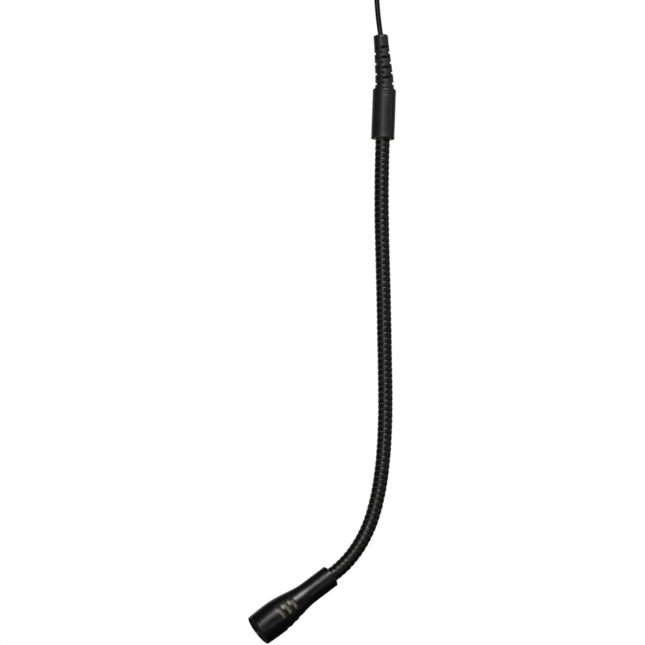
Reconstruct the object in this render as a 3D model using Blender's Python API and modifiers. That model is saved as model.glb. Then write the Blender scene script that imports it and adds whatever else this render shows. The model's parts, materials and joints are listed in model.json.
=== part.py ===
"""A gooseneck microphone that hangs by its own cord: ceiling fitting, cord, boot, collar, gooseneck and head.

Metres, +Z up. The origin is the centre of the ceiling plate's top face, and the microphone hangs below it.
The gooseneck bends in the XZ plane. A heading is an angle in degrees from straight down towards -X.
"""

import math

import bmesh
import bpy
from mathutils import Matrix, Vector

# --- Driving dimensions -------------------------------------------------------------------------

GAP = 0.0003  # clearance between neighbouring pieces

CORD_DIAMETER = 0.0024
# The cord's route in the XZ plane, from inside its grip down to the mouth of the strain relief.
CORD_POINTS = (
    (0.0, -0.0020),
    (0.0, -0.0100),
    (0.0, -0.0180),
    (0.0, -0.0258),
    (0.00013, -0.0323),
    (0.00051, -0.0388),
    (0.00115, -0.0453),
    (0.00204, -0.0517),
)
CORD_STEPS = 2  # straight steps between two of those points

PLATE_RADIUS = 0.020
PLATE_THICKNESS = 0.0045
PLATE_FLOOR = 0.0020  # metal left under the nut's recess
PLATE_EDGE_CHAMFER = 0.0012
PLATE_SCREW_RADIUS = 0.0019
PLATE_SCREW_HEAD_RADIUS = 0.0036
PLATE_SCREW_SPACING = 0.026
GRIP_STEM_RADIUS = 0.0036
GRIP_FLANGE_RADIUS = 0.0062
GRIP_FLANGE_HEIGHT = 0.0030
GRIP_TAIL_LENGTH = 0.0100
GRIP_TAIL_WALL = 0.0008
GRIP_NUT_RADIUS = 0.0058
GRIP_NUT_HEIGHT = 0.0016

BOOT_LENGTH = 0.0247
BOOT_TOP_WALL = 0.00183
BOOT_CORE_WALL = 0.0005
BOOT_SHOULDER_RADIUS = 0.0009
BOOT_PLAIN_SHARE = 0.2186  # plain stretch above the first slot, as a share of the boot
BOOT_SLOT_SHARE = 0.53  # slot height, as a share of the slot pitch
BOOT_SLOT_PAIRS = 4
BOOT_SLOT_ARC = 135.0
BOOT_STEM_LENGTH = 0.0040
BOOT_STEM_WALL = 0.0014
BOOT_HEADINGS = ((0.0, -5.0), (0.72, -5.0), (1.0, 0.8))  # share of its length, heading
TAIL_START = 0.0010  # how far inside the boot the cord's hidden tail starts

COLLAR_LENGTH = 0.0229
COLLAR_WALL = 0.0009
COLLAR_ROUND = 0.0009
COLLAR_TOP_THICKNESS = 0.0016
COLLAR_TO_BOOT_STEP = 0.00098  # how much narrower the boot's foot is than the collar
CRIMP_LENGTH = 0.0030
SPLICE_RADIUS = 0.0021

NECK_DIAMETER = 0.0066
NECK_PITCH = 0.00254
RIB_DEPTH = 0.00042
NECK_BORE_RADIUS = 0.0016
LEAD_RADIUS = 0.0009
LINK_TURNS = (7, 6, 6, 6, 6, 6, 6, 6, 6, 6, 6, 6, 7)
HIDDEN_TURNS = 2  # turns of the spring inside each ferrule
# The gooseneck's heading at the top of each link, and at the bottom of the last one.
NECK_HEADINGS = (2.2, 1.0, -0.5, -1.5, -1.5, -1.0, -1.0, -1.0, 1.0, 4.0, 9.0, 17.5, 33.0, 54.0)
HINGE_LIMIT = 30.0  # degrees that a hinge turns each way, which sets the relief at the link ends
FERRULE_WALL = 0.0005
FERRULE_MARGIN = 0.0014  # ferrule beyond the last hidden turn

HEAD_LENGTH = 0.0413
HEAD_TAIL_WALL = 0.000675
HEAD_SLOT_WALL = 0.0009
HEAD_FRONT_WALL = 0.00094
HEAD_TAIL_LENGTH = 0.0120  # straight tail behind the flare
HEAD_BULGE = 0.00026
HEAD_BULGE_AT = 0.0087  # from the front face to the barrel's widest place
HEAD_STANDOFF = 0.00107  # straight stretch of the spring before the head
HEAD_SLOT_PITCH = 0.0036
HEAD_SLOT_WIDTH = 0.0020
HEAD_FIRST_SLOT = 0.01195  # from the front face to the middle of the first slot
HEAD_SLOT_RINGS = 3
HEAD_SLOT_ARC = 50.0
HEAD_SLOT_CENTRES = (-102.0, 0.0, 102.0)  # three columns: the underside and both flanks, a plain spine on top
REAR_WALL = 0.0009
FRONT_RING_LENGTH = 0.0016
CAPSULE_RADIUS = 0.0050
CAPSULE_DEPTH = 0.0050
CAPSULE_WALL = 0.0004
GASKET_WALL = 0.0010
GRILLE_RECESS = 0.0006
GRILLE_THICKNESS = 0.0004
GRILLE_HOLE_RADIUS = 0.00062
GRILLE_HOLE_PITCH = 0.0021
CLOTH_THICKNESS = 0.0003
MESH_THICKNESS = 0.0005
RETAINER_LENGTH = 0.0014
RETAINER_LIP = 0.0012  # how far the retainer reaches in over the capsule's rim
BOARD_LENGTH = 0.0080
BOARD_WIDTH = 0.0056
BOARD_THICKNESS = 0.0010

# --- Values that follow from them ---------------------------------------------------------------

CORD_RADIUS = CORD_DIAMETER / 2
NECK_RADIUS = NECK_DIAMETER / 2
CORD_BORE = CORD_RADIUS + GAP
FERRULE_BORE = NECK_RADIUS + GAP
FERRULE_RADIUS = FERRULE_BORE + FERRULE_WALL
COLLAR_BORE = FERRULE_RADIUS + GAP
COLLAR_RADIUS = COLLAR_BORE + COLLAR_WALL
BOOT_FOOT_RADIUS = COLLAR_RADIUS - COLLAR_TO_BOOT_STEP
BOOT_TOP_RADIUS = CORD_BORE + BOOT_TOP_WALL
BOOT_STEM_RADIUS = CORD_BORE + BOOT_STEM_WALL
BOOT_PLAIN_CAP = BOOT_LENGTH * BOOT_PLAIN_SHARE
BOOT_SLOT_PITCH = (BOOT_LENGTH - BOOT_PLAIN_CAP) / (2 * BOOT_SLOT_PAIRS + BOOT_SLOT_SHARE / 2)
BOOT_SLOT_HEIGHT = BOOT_SLOT_PITCH * BOOT_SLOT_SHARE
HIDDEN_LENGTH = HIDDEN_TURNS * NECK_PITCH
FERRULE_LENGTH = HIDDEN_LENGTH + FERRULE_MARGIN
RELIEF = math.tan(math.radians(HINGE_LIMIT / 2))
HEAD_TAIL_BORE = FERRULE_RADIUS + GAP
HEAD_TAIL_RADIUS = HEAD_TAIL_BORE + HEAD_TAIL_WALL
HEAD_BORE = CAPSULE_RADIUS + GASKET_WALL + GAP
HEAD_FRONT_RADIUS = HEAD_BORE + HEAD_FRONT_WALL
HEAD_LAST_SLOT = HEAD_FIRST_SLOT + (HEAD_SLOT_RINGS - 1) * HEAD_SLOT_PITCH
GRIP_BOTTOM = PLATE_THICKNESS + GAP + GRIP_FLANGE_HEIGHT + GRIP_TAIL_LENGTH

# --- Finishes -----------------------------------------------------------------------------------

FINISHES = {
    "plate_enamel": ((0.62, 0.62, 0.60), 0.40, 0.0),
    "grip_nylon": ((0.030, 0.030, 0.030), 0.55, 0.0),
    "zinc_steel": ((0.55, 0.55, 0.55), 0.35, 1.0),
    "cord_jacket": ((0.020, 0.020, 0.021), 0.35, 0.0),
    "boot_rubber": ((0.022, 0.022, 0.023), 0.70, 0.0),
    "collar_black": ((0.030, 0.030, 0.031), 0.60, 0.0),
    "lead_grey": ((0.25, 0.25, 0.26), 0.50, 0.0),
    "brass": ((0.70, 0.52, 0.24), 0.35, 1.0),
    "head_black": ((0.030, 0.030, 0.032), 0.45, 0.0),
    "neck_steel": ((0.035, 0.036, 0.040), 0.32, 0.0),
    "dark_screen": ((0.05, 0.05, 0.055), 0.50, 0.8),
    "olive_screen": ((0.30, 0.28, 0.17), 0.55, 0.6),
    "black_cloth": ((0.02, 0.02, 0.02), 0.95, 0.0),
    "bright_aluminium": ((0.75, 0.75, 0.77), 0.30, 1.0),
    "gold_film": ((0.83, 0.66, 0.30), 0.30, 1.0),
    "board_green": ((0.03, 0.16, 0.08), 0.50, 0.0),
    "tantalum_yellow": ((0.72, 0.50, 0.12), 0.35, 0.0),
}

TURNED_SIDES = 28
HEAD_SIDES = 36
NECK_SIDES = 12


# --- Scene helpers ------------------------------------------------------------------------------


def clear_scene():
    for obj in list(bpy.data.objects):
        bpy.data.objects.remove(obj)


def new_collection(name):
    collection = bpy.data.collections.new(name)
    bpy.context.scene.collection.children.link(collection)
    return collection


def finish(name):
    """The named finish as a material, made the first time that it is asked for."""
    found = bpy.data.materials.get(name)
    if found:
        return found
    colour, roughness, metallic = FINISHES[name]
    material = bpy.data.materials.new(name)
    material.use_nodes = True
    shader = material.node_tree.nodes["Principled BSDF"]
    shader.inputs["Base Color"].default_value = (*colour, 1.0)
    shader.inputs["Roughness"].default_value = roughness
    shader.inputs["Metallic"].default_value = metallic
    return material


def evaluated_mesh(obj):
    """The object's mesh with its modifiers applied."""
    graph = bpy.context.evaluated_depsgraph_get()
    return bpy.data.meshes.new_from_object(obj.evaluated_get(graph))


def bake(obj):
    """Keeps the modified mesh and drops the modifiers."""
    obj.data = evaluated_mesh(obj)
    obj.modifiers.clear()
    return obj


def shade(obj, angle=35.0):
    if obj.type == "MESH":
        obj.data.shade_smooth()
        obj.data.set_sharp_from_angle(angle=math.radians(angle))
    return obj


def new_piece(name, mesh, finish_name):
    obj = bpy.data.objects.new(name, mesh)
    PIECES.objects.link(obj)
    if finish_name:
        mesh.materials.append(finish(finish_name))
    return obj


def turned(name, outline, finish_name, sides=TURNED_SIDES, ring=True):
    """A turned piece. The outline's points are (radius, distance down from the piece's top end).

    It runs down the outer side and, for a ring, back up the bore. A solid's starts and ends on the axis."""
    mesh = bpy.data.meshes.new(name)
    points = [(radius, 0.0, -depth) for radius, depth in outline]
    edges = [(i, i + 1) for i in range(len(points) - 1)]
    if ring:
        edges.append((len(points) - 1, 0))
    mesh.from_pydata(points, edges, [])
    obj = new_piece(name, mesh, None)
    screw = obj.modifiers.new("turn", "SCREW")
    screw.steps = sides
    screw.render_steps = sides
    screw.use_merge_vertices = True
    screw.merge_threshold = 1e-6
    bake(obj)
    obj.data.materials.append(finish(finish_name))
    return shade(obj)


def tube_outline(outer, bore, top, bottom):
    return [(outer, top), (outer, bottom), (bore, bottom), (bore, top)]


def disc_outline(radius, top, bottom):
    return [(0.0, top), (radius, top), (radius, bottom), (0.0, bottom)]


def quarter_round(centre_radius, centre_depth, size, first_degrees, last_degrees, steps=4):
    """Points on an arc. 0 degrees points outwards and 90 up towards the top end."""
    found = []
    for i in range(steps + 1):
        angle = math.radians(first_degrees + (last_degrees - first_degrees) * i / steps)
        found.append((centre_radius + size * math.cos(angle), centre_depth - size * math.sin(angle)))
    return found


def cutter(name, bm):
    """A hidden mesh for Booleans."""
    bmesh.ops.recalc_face_normals(bm, faces=bm.faces)
    mesh = bpy.data.meshes.new(name)
    bm.to_mesh(mesh)
    bm.free()
    obj = bpy.data.objects.new(name, mesh)
    CUTTERS.objects.link(obj)
    obj.hide_render = True
    obj.display_type = "WIRE"
    return obj


def add_ring_block(bm, bore, outer, top, bottom, centre_degrees, arc_degrees, steps):
    """A rectangle spun about the axis through part of a turn."""
    start = math.radians(centre_degrees - arc_degrees / 2)
    corners = ((bore, bottom), (outer, bottom), (outer, top), (bore, top))
    verts = [bm.verts.new((r * math.cos(start), r * math.sin(start), -d)) for r, d in corners]
    face = bm.faces.new(verts)
    bmesh.ops.spin(
        bm,
        geom=[face],
        cent=(0, 0, 0),
        axis=(0, 0, 1),
        angle=math.radians(arc_degrees),
        steps=steps,
        use_duplicate=False,
    )


def add_cylinder(bm, radius_top, radius_bottom, top, bottom, x=0.0, y=0.0, sides=12):
    bmesh.ops.create_cone(
        bm,
        cap_ends=True,
        segments=sides,
        radius1=radius_bottom,
        radius2=radius_top,
        depth=bottom - top,
        matrix=Matrix.Translation((x, y, -(top + bottom) / 2)),
    )


def cut(obj, tool):
    boolean = obj.modifiers.new("cut", "BOOLEAN")
    boolean.operation = "DIFFERENCE"
    boolean.object = tool
    bake(obj)
    return shade(obj)


def box_piece(name, size, centre, finish_name, bevel):
    """A box with its edges bevelled, in the piece's own frame."""
    bm = bmesh.new()
    bmesh.ops.create_cube(bm, size=1.0)
    bmesh.ops.scale(bm, vec=size, verts=bm.verts)
    bmesh.ops.translate(bm, vec=centre, verts=bm.verts)
    mesh = bpy.data.meshes.new(name)
    bm.to_mesh(mesh)
    bm.free()
    obj = new_piece(name, mesh, finish_name)
    rounding = obj.modifiers.new("edges", "BEVEL")
    rounding.width = bevel
    rounding.segments = 1
    return obj


# --- The route that the microphone follows ------------------------------------------------------


def catmull_rom(points, steps):
    """A smooth curve through the points, each span in that many steps."""
    ends = [2 * points[0] - points[1], *points, 2 * points[-1] - points[-2]]
    found = [points[0]]
    for a, b, c, d in zip(ends, ends[1:], ends[2:], ends[3:]):
        for i in range(1, steps + 1):
            t = i / steps
            found.append(
                0.5
                * (2 * b + (c - a) * t + (2 * a - 5 * b + 4 * c - d) * t**2 + (3 * b - a - 3 * c + d) * t**3)
            )
    return found


class Route:
    """Arcs end to end in the XZ plane, each (length, heading at its top, heading at its bottom)."""

    def __init__(self, start, arcs):
        self.arcs = []
        at, travelled = Vector(start), 0.0
        for length, first, last in arcs:
            self.arcs.append((travelled, length, math.radians(first), math.radians(last), at))
            at = self.point(travelled + length)
            travelled += length
        self.length = travelled

    def arc_at(self, distance):
        found = self.arcs[0]
        for arc in self.arcs:
            if distance >= arc[0] - 1e-9:
                found = arc
        return found

    def heading(self, distance):
        start, length, first, last, _ = self.arc_at(distance)
        return first + (last - first) * (distance - start) / length

    def point(self, distance):
        start, length, first, last, at = self.arc_at(distance)
        turn = (last - first) / length
        if abs(turn) < 1e-9:
            return at + (distance - start) * Vector((-math.sin(first), 0, -math.cos(first)))
        heading = first + turn * (distance - start)
        across = (math.cos(heading) - math.cos(first)) / turn
        down = (math.sin(heading) - math.sin(first)) / turn
        return at + Vector((across, 0, -down))

    def place(self, distance):
        """The frame at a distance: its Z axis looks back up the route."""
        turn = Matrix.Rotation(self.heading(distance), 4, "Y")
        return Matrix.Translation(self.point(distance)) @ turn

    def follow(self, obj, distance):
        """Bends a straight piece, whose top end is at that distance, along the route."""
        for vertex in obj.data.vertices:
            x, y, z = vertex.co
            vertex.co = self.place(distance - z) @ Vector((x, y, 0.0))
        return obj


def whole_route():
    """The route from the strain relief's mouth to the front of the head, and where each stretch starts."""
    x, z = CORD_POINTS[-1]
    arcs, marks, travelled = [], {}, 0.0
    marks["boot"] = travelled
    for (share, first), (next_share, last) in zip(BOOT_HEADINGS, BOOT_HEADINGS[1:]):
        arcs.append(((next_share - share) * BOOT_LENGTH, first, last))
    travelled += BOOT_LENGTH
    marks["collar"] = travelled
    arcs.append((COLLAR_LENGTH, NECK_HEADINGS[0], NECK_HEADINGS[0]))
    travelled += COLLAR_LENGTH
    marks["links"] = []
    for turns, first, last in zip(LINK_TURNS, NECK_HEADINGS, NECK_HEADINGS[1:]):
        marks["links"].append(travelled)
        arcs.append((turns * NECK_PITCH, first, last))
        travelled += turns * NECK_PITCH
    marks["head"] = travelled + HEAD_STANDOFF
    arcs.append((HEAD_STANDOFF + HEAD_LENGTH, NECK_HEADINGS[-1], NECK_HEADINGS[-1]))
    return Route((x, 0.0, z), arcs), marks


# --- Bodies: an empty on each hinge -------------------------------------------------------------


def make_hinges(route, marks):
    """An empty at the top of every link but the first, each the child of the one above."""
    pivots, above = [None], None
    for number, distance in enumerate(marks["links"][1:], start=1):
        pivot = bpy.data.objects.new(f"hinge_{number:02d}", None)
        pivot.empty_display_size = 0.004
        PIECES.objects.link(pivot)
        world = route.point(distance)
        pivot.parent = above
        pivot.location = world - (pivots[-1][1] if above else Vector((0, 0, 0)))
        pivots.append((pivot, world))
        above = pivot
    return pivots


def hang_on(obj, pivots, number):
    """Parents a placed piece to the hinge above link number, leaving it where it is."""
    if pivots[number] is None:
        return obj
    pivot, world = pivots[number]
    obj.parent = pivot
    if obj.matrix_basis == Matrix.Identity(4) and obj.type == "MESH":
        obj.data.transform(Matrix.Translation(-world))
    else:
        obj.location = obj.location - world
    return obj


def put(obj, frame):
    obj.location = frame.translation
    obj.rotation_euler = frame.to_euler()
    return obj


# --- Ceiling fitting and cord -------------------------------------------------------------------


def make_ceiling_plate():
    recess = PLATE_THICKNESS - PLATE_FLOOR
    recess_radius = GRIP_NUT_RADIUS + 2 * GAP
    stem_hole = GRIP_STEM_RADIUS + GAP
    plate = turned(
        "ceiling_plate",
        [
            (PLATE_RADIUS, 0.0),
            (PLATE_RADIUS, PLATE_THICKNESS - PLATE_EDGE_CHAMFER),
            (PLATE_RADIUS - PLATE_EDGE_CHAMFER, PLATE_THICKNESS),
            (stem_hole, PLATE_THICKNESS),
            (stem_hole, recess),
            (recess_radius, recess),
            (recess_radius, 0.0),
        ],
        "plate_enamel",
    )
    holes = bmesh.new()
    sink = PLATE_SCREW_HEAD_RADIUS - PLATE_SCREW_RADIUS
    for side in (-1, 1):
        x = side * PLATE_SCREW_SPACING / 2
        add_cylinder(holes, PLATE_SCREW_RADIUS, PLATE_SCREW_RADIUS, -0.001, PLATE_THICKNESS + 0.001, x=x)
    drills = cutter("plate_screw_holes", holes)
    cut(plate, drills)
    sinks = bmesh.new()
    wide = PLATE_SCREW_HEAD_RADIUS + 0.0005
    narrow = PLATE_SCREW_RADIUS - 0.0002
    for side in (-1, 1):
        x = side * PLATE_SCREW_SPACING / 2
        add_cylinder(sinks, narrow, wide, PLATE_THICKNESS - sink, PLATE_THICKNESS + 0.0005, x=x)
    cut(plate, cutter("plate_countersinks", sinks))
    return plate


def make_cord_grip():
    flange_top = PLATE_THICKNESS + GAP
    flange_bottom = flange_top + GRIP_FLANGE_HEIGHT
    tail_radius = CORD_BORE + GRIP_TAIL_WALL
    return turned(
        "cord_grip",
        [
            (GRIP_STEM_RADIUS, GAP),
            (GRIP_STEM_RADIUS, flange_top),
            (GRIP_FLANGE_RADIUS, flange_top),
            (GRIP_FLANGE_RADIUS, flange_bottom - 0.0006),
            (GRIP_FLANGE_RADIUS - 0.0006, flange_bottom),
            ((GRIP_STEM_RADIUS + tail_radius) / 2, flange_bottom),
            (tail_radius, GRIP_BOTTOM - GAP),
            (CORD_BORE, GRIP_BOTTOM),
            (CORD_BORE, GAP),
        ],
        "grip_nylon",
        sides=20,
    )


def make_grip_nut():
    """A hexagonal nut in the plate's recess."""
    bottom = PLATE_THICKNESS - PLATE_FLOOR - GAP
    top = bottom - GRIP_NUT_HEIGHT
    bm = bmesh.new()
    add_cylinder(bm, GRIP_NUT_RADIUS, GRIP_NUT_RADIUS, top, bottom, sides=6)
    mesh = bpy.data.meshes.new("grip_nut")
    bm.to_mesh(mesh)
    bm.free()
    nut = new_piece("grip_nut", mesh, "zinc_steel")
    thread = bmesh.new()
    bore = GRIP_STEM_RADIUS + GAP
    add_cylinder(thread, bore, bore, top - 0.001, bottom + 0.001, sides=20)
    return cut(nut, cutter("grip_nut_thread", thread))


def wire(name, points, radius, finish_name):
    """A round wire through the points, as a curve with filled caps."""
    curve = bpy.data.curves.new(name, "CURVE")
    curve.dimensions = "3D"
    curve.bevel_depth = radius
    curve.bevel_resolution = 2
    curve.use_fill_caps = True
    spline = curve.splines.new("POLY")
    spline.points.add(len(points) - 1)
    for slot, point in zip(spline.points, points):
        slot.co = (*point, 1.0)
    obj = bpy.data.objects.new(name, curve)
    PIECES.objects.link(obj)
    curve.materials.append(finish(finish_name))
    return obj


def make_cord():
    points = [Vector((x, 0.0, z)) for x, z in CORD_POINTS]
    points[-1] += TAIL_START / 2 * (points[-1] - points[-2]).normalized()
    return wire("cord", catmull_rom(points, CORD_STEPS), CORD_RADIUS, "cord_jacket")


def make_cord_tail(route, marks):
    """The jacketed end of the cord, through the strain relief to the crimp's far side in the collar."""
    first = marks["boot"] + TAIL_START
    last = marks["collar"] + COLLAR_TOP_THICKNESS + BOOT_STEM_LENGTH + CRIMP_LENGTH
    steps = 8
    points = [route.point(first + (last - first) * i / steps) for i in range(steps + 1)]
    return wire("cord_tail", points, CORD_RADIUS, "cord_jacket")


# --- Strain relief and collar -------------------------------------------------------------------


def boot_slot_cutter():
    """Eight rings of two slots. Rings alternate: bridges at the sides, then at front and back."""
    bm = bmesh.new()
    for ring in range(2 * BOOT_SLOT_PAIRS):
        middle = BOOT_PLAIN_CAP + BOOT_SLOT_HEIGHT / 2 + ring * BOOT_SLOT_PITCH
        first = 90.0 if ring % 2 == 0 else 0.0
        for side in (0.0, 180.0):
            add_ring_block(
                bm,
                CORD_BORE + BOOT_CORE_WALL,
                BOOT_FOOT_RADIUS + 0.002,
                middle - BOOT_SLOT_HEIGHT / 2,
                middle + BOOT_SLOT_HEIGHT / 2,
                first + side,
                BOOT_SLOT_ARC,
                9,
            )
    return cutter("boot_slots", bm)


def make_strain_relief_boot(route, marks):
    shoulder = quarter_round(
        BOOT_TOP_RADIUS - BOOT_SHOULDER_RADIUS, BOOT_SHOULDER_RADIUS, BOOT_SHOULDER_RADIUS, 90, 0
    )
    foot = BOOT_LENGTH - GAP
    boot = turned(
        "strain_relief_boot",
        [
            *shoulder,
            (BOOT_TOP_RADIUS, BOOT_PLAIN_CAP * 0.8),
            (BOOT_FOOT_RADIUS, foot - 0.0003),
            (BOOT_FOOT_RADIUS - 0.0003, foot),
            (BOOT_STEM_RADIUS, foot),
            (BOOT_STEM_RADIUS, BOOT_LENGTH + BOOT_STEM_LENGTH),
            (CORD_BORE, BOOT_LENGTH + BOOT_STEM_LENGTH),
            (CORD_BORE, BOOT_LENGTH * 0.66),
            (CORD_BORE, BOOT_LENGTH * 0.33),
            (CORD_BORE, 0.0),
        ],
        "boot_rubber",
    )
    cut(boot, boot_slot_cutter())
    return route.follow(boot, marks["boot"])


def make_collar_sleeve(frame):
    top = quarter_round(COLLAR_RADIUS - COLLAR_ROUND, COLLAR_ROUND, COLLAR_ROUND, 90, 0)
    collar = turned(
        "collar_sleeve",
        [
            *top,
            (COLLAR_RADIUS, COLLAR_LENGTH - 0.0004),
            (COLLAR_RADIUS - 0.0003, COLLAR_LENGTH),
            (COLLAR_BORE, COLLAR_LENGTH),
            (COLLAR_BORE, COLLAR_TOP_THICKNESS),
            (BOOT_STEM_RADIUS + GAP, COLLAR_TOP_THICKNESS),
            (BOOT_STEM_RADIUS + GAP, 0.0),
        ],
        "collar_black",
    )
    return put(collar, frame)


def make_neck_ferrule(name, frame, top):
    """The brass tube that the spring's end is pressed into, from its top end downwards."""
    outline = tube_outline(FERRULE_RADIUS, FERRULE_BORE, top, top + FERRULE_LENGTH)
    return put(turned(name, outline, "brass", sides=24), frame)


def make_cord_crimp(frame):
    top = BOOT_STEM_LENGTH + GAP + 0.0003
    bottom = top + CRIMP_LENGTH
    outline = [
        (COLLAR_BORE - GAP, top),
        (COLLAR_BORE - GAP, top + CRIMP_LENGTH / 2),
        (CORD_BORE + 0.0009, bottom),
        (CORD_BORE, bottom),
        (CORD_BORE, top),
    ]
    return put(turned("cord_crimp", outline, "zinc_steel", sides=20), frame)


def make_lead_splice(frame):
    top = COLLAR_TOP_THICKNESS + BOOT_STEM_LENGTH + CRIMP_LENGTH + GAP
    bottom = COLLAR_LENGTH - HIDDEN_LENGTH - GAP
    return put(turned("lead_splice", disc_outline(SPLICE_RADIUS, top, bottom), "lead_grey", sides=12), frame)


# --- Gooseneck ----------------------------------------------------------------------------------


def link_outline(length, free_top, free_bottom):
    """A ribbed tube. An end that meets a hinge is cut back to a cone, so that the links clear each other."""

    def relief(radius):
        return radius * RELIEF + GAP / 2

    crest, valley = NECK_RADIUS, NECK_RADIUS - RIB_DEPTH
    outer = []
    for half_turn in range(round(2 * length / NECK_PITCH) + 1):
        radius = valley if half_turn % 2 == 0 else crest
        outer.append((radius, half_turn * NECK_PITCH / 2))
    if free_top:
        outer[0] = (valley, relief(valley))
    if free_bottom:
        outer[-1] = (valley, length - relief(valley))
    bore_top = relief(NECK_BORE_RADIUS) if free_top else 0.0
    bore_bottom = length - relief(NECK_BORE_RADIUS) if free_bottom else length
    middle = length / 2
    bore = [(NECK_BORE_RADIUS, bore_bottom), (NECK_BORE_RADIUS, middle), (NECK_BORE_RADIUS, bore_top)]
    return outer + bore


def make_neck(route, marks, pivots):
    """The spring and the lead inside it, a link at a time. The end links reach into their ferrules."""
    last = len(LINK_TURNS) - 1
    for number, turns in enumerate(LINK_TURNS):
        start, length = marks["links"][number], turns * NECK_PITCH
        above = HIDDEN_LENGTH if number == 0 else 0.0
        below = HIDDEN_LENGTH if number == last else 0.0
        outline = link_outline(length + above + below, number > 0, number < last)
        coil = turned(f"neck_coil_{number:02d}", outline, "neck_steel", sides=NECK_SIDES)
        route.follow(coil, start - above)
        hang_on(coil, pivots, number)
        lead_gap = LEAD_RADIUS * RELIEF + GAP / 2
        lead_top = start - above + (GAP if number == 0 else lead_gap)
        lead_bottom = start + length + below - (GAP if number == last else lead_gap)
        steps = 4
        points = [route.point(lead_top + (lead_bottom - lead_top) * i / steps) for i in range(steps + 1)]
        lead = wire(f"neck_lead_{number:02d}", points, LEAD_RADIUS, "lead_grey")
        hang_on(lead, pivots, number)


# --- Head ---------------------------------------------------------------------------------------


def from_front(distance):
    return HEAD_LENGTH - distance


def head_outer_radius(front_distance):
    """The shell's outer radius at a distance from the front face: a barrel, a flare and a straight tail."""
    flare_end = HEAD_LENGTH - HEAD_TAIL_LENGTH
    barrel = HEAD_FRONT_RADIUS + HEAD_BULGE
    if front_distance <= HEAD_BULGE_AT:
        share = front_distance / HEAD_BULGE_AT
        return HEAD_FRONT_RADIUS + HEAD_BULGE * math.sin(share * math.pi / 2)
    if front_distance >= flare_end:
        return HEAD_TAIL_RADIUS
    share = (front_distance - HEAD_BULGE_AT) / (flare_end - HEAD_BULGE_AT)
    fall = (1 - math.cos(share * math.pi)) / 2
    return barrel + (HEAD_TAIL_RADIUS - barrel) * fall**1.12


def shell_bore(front_distance):
    """The bore behind the slots follows the outside, one slot wall in."""
    return head_outer_radius(front_distance) - HEAD_SLOT_WALL


def make_head_shell(frame):
    ring_end = FRONT_RING_LENGTH + GAP
    bore_end = HEAD_FIRST_SLOT - HEAD_SLOT_WIDTH
    screen_end = HEAD_LAST_SLOT + HEAD_SLOT_WIDTH
    ferrule_end = REAR_WALL + GAP + FERRULE_LENGTH
    tail_bore_start = (from_front(screen_end) + ferrule_end) / 2
    rear_round = 0.00045
    outer = quarter_round(HEAD_TAIL_RADIUS - rear_round, rear_round, rear_round, 90, 0, steps=3)
    first, last = 0.0045, HEAD_LENGTH - HEAD_TAIL_LENGTH
    steps = 10
    stations = [last + (first - last) * i / steps for i in range(steps + 1)]
    outer += [(head_outer_radius(d), from_front(d)) for d in stations]
    outer.append((head_outer_radius(ring_end), from_front(ring_end)))
    inner = [(HEAD_BORE, from_front(ring_end)), (HEAD_BORE, from_front(bore_end - GAP))]
    steps = 4
    for i in range(steps + 1):
        d = bore_end + (screen_end - bore_end) * i / steps
        inner.append((min(shell_bore(d), HEAD_BORE), from_front(d)))
    inner += [(HEAD_TAIL_BORE, tail_bore_start), (HEAD_TAIL_BORE, REAR_WALL)]
    inner += [(FERRULE_BORE, REAR_WALL), (FERRULE_BORE, 0.0)]
    shell = turned("head_shell", outer + inner, "head_black", sides=HEAD_SIDES)
    slots = bmesh.new()
    for ring in range(HEAD_SLOT_RINGS):
        middle = from_front(HEAD_FIRST_SLOT + ring * HEAD_SLOT_PITCH)
        for centre in HEAD_SLOT_CENTRES:
            add_ring_block(
                slots,
                HEAD_TAIL_RADIUS - HEAD_SLOT_WALL,
                HEAD_FRONT_RADIUS + 0.002,
                middle - HEAD_SLOT_WIDTH / 2,
                middle + HEAD_SLOT_WIDTH / 2,
                centre,
                HEAD_SLOT_ARC,
                8,
            )
    cut(shell, cutter("head_slots", slots))
    return put(shell, frame)


def make_slot_screen(frame):
    """The cone of screen behind the slots."""
    start, end = HEAD_FIRST_SLOT - HEAD_SLOT_WIDTH, HEAD_LAST_SLOT + HEAD_SLOT_WIDTH
    steps = 4
    stations = [start + (end - start) * i / steps for i in range(steps + 1)]
    outer = [(min(shell_bore(d), HEAD_BORE) - GAP, from_front(d)) for d in reversed(stations)]
    inner = [(radius - MESH_THICKNESS, depth) for radius, depth in reversed(outer)]
    return put(turned("slot_screen", outer + inner, "olive_screen", sides=24), frame)


def make_front_ring(frame):
    lip = 0.0002
    inside = CAPSULE_RADIUS + GASKET_WALL - 0.0002
    outline = [
        (head_outer_radius(FRONT_RING_LENGTH), from_front(FRONT_RING_LENGTH)),
        (head_outer_radius(lip), from_front(lip)),
        (head_outer_radius(lip) - lip, from_front(0.0)),
        (inside, from_front(0.0)),
        (inside, from_front(FRONT_RING_LENGTH)),
    ]
    return put(turned("front_ring", outline, "head_black", sides=HEAD_SIDES), frame)


def make_front_grille(frame):
    """A flat screen, drilled in rings of holes."""
    radius = CAPSULE_RADIUS + GASKET_WALL - 0.0002 - GAP
    top = from_front(GRILLE_RECESS + GRILLE_THICKNESS)
    disc = disc_outline(radius, top, top + GRILLE_THICKNESS)
    grille = turned("front_grille", disc, "dark_screen", ring=False)
    holes = bmesh.new()
    for ring in (0, 1, 2):
        for i in range(max(1, 6 * ring)):
            angle = math.tau * i / max(1, 6 * ring)
            x, y = (ring * GRILLE_HOLE_PITCH * f(angle) for f in (math.cos, math.sin))
            ends = (top - 0.001, top + GRILLE_THICKNESS + 0.001)
            add_cylinder(holes, GRILLE_HOLE_RADIUS, GRILLE_HOLE_RADIUS, *ends, x=x, y=y, sides=6)
    cut(grille, cutter("grille_holes", holes))
    return put(grille, frame)


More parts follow.
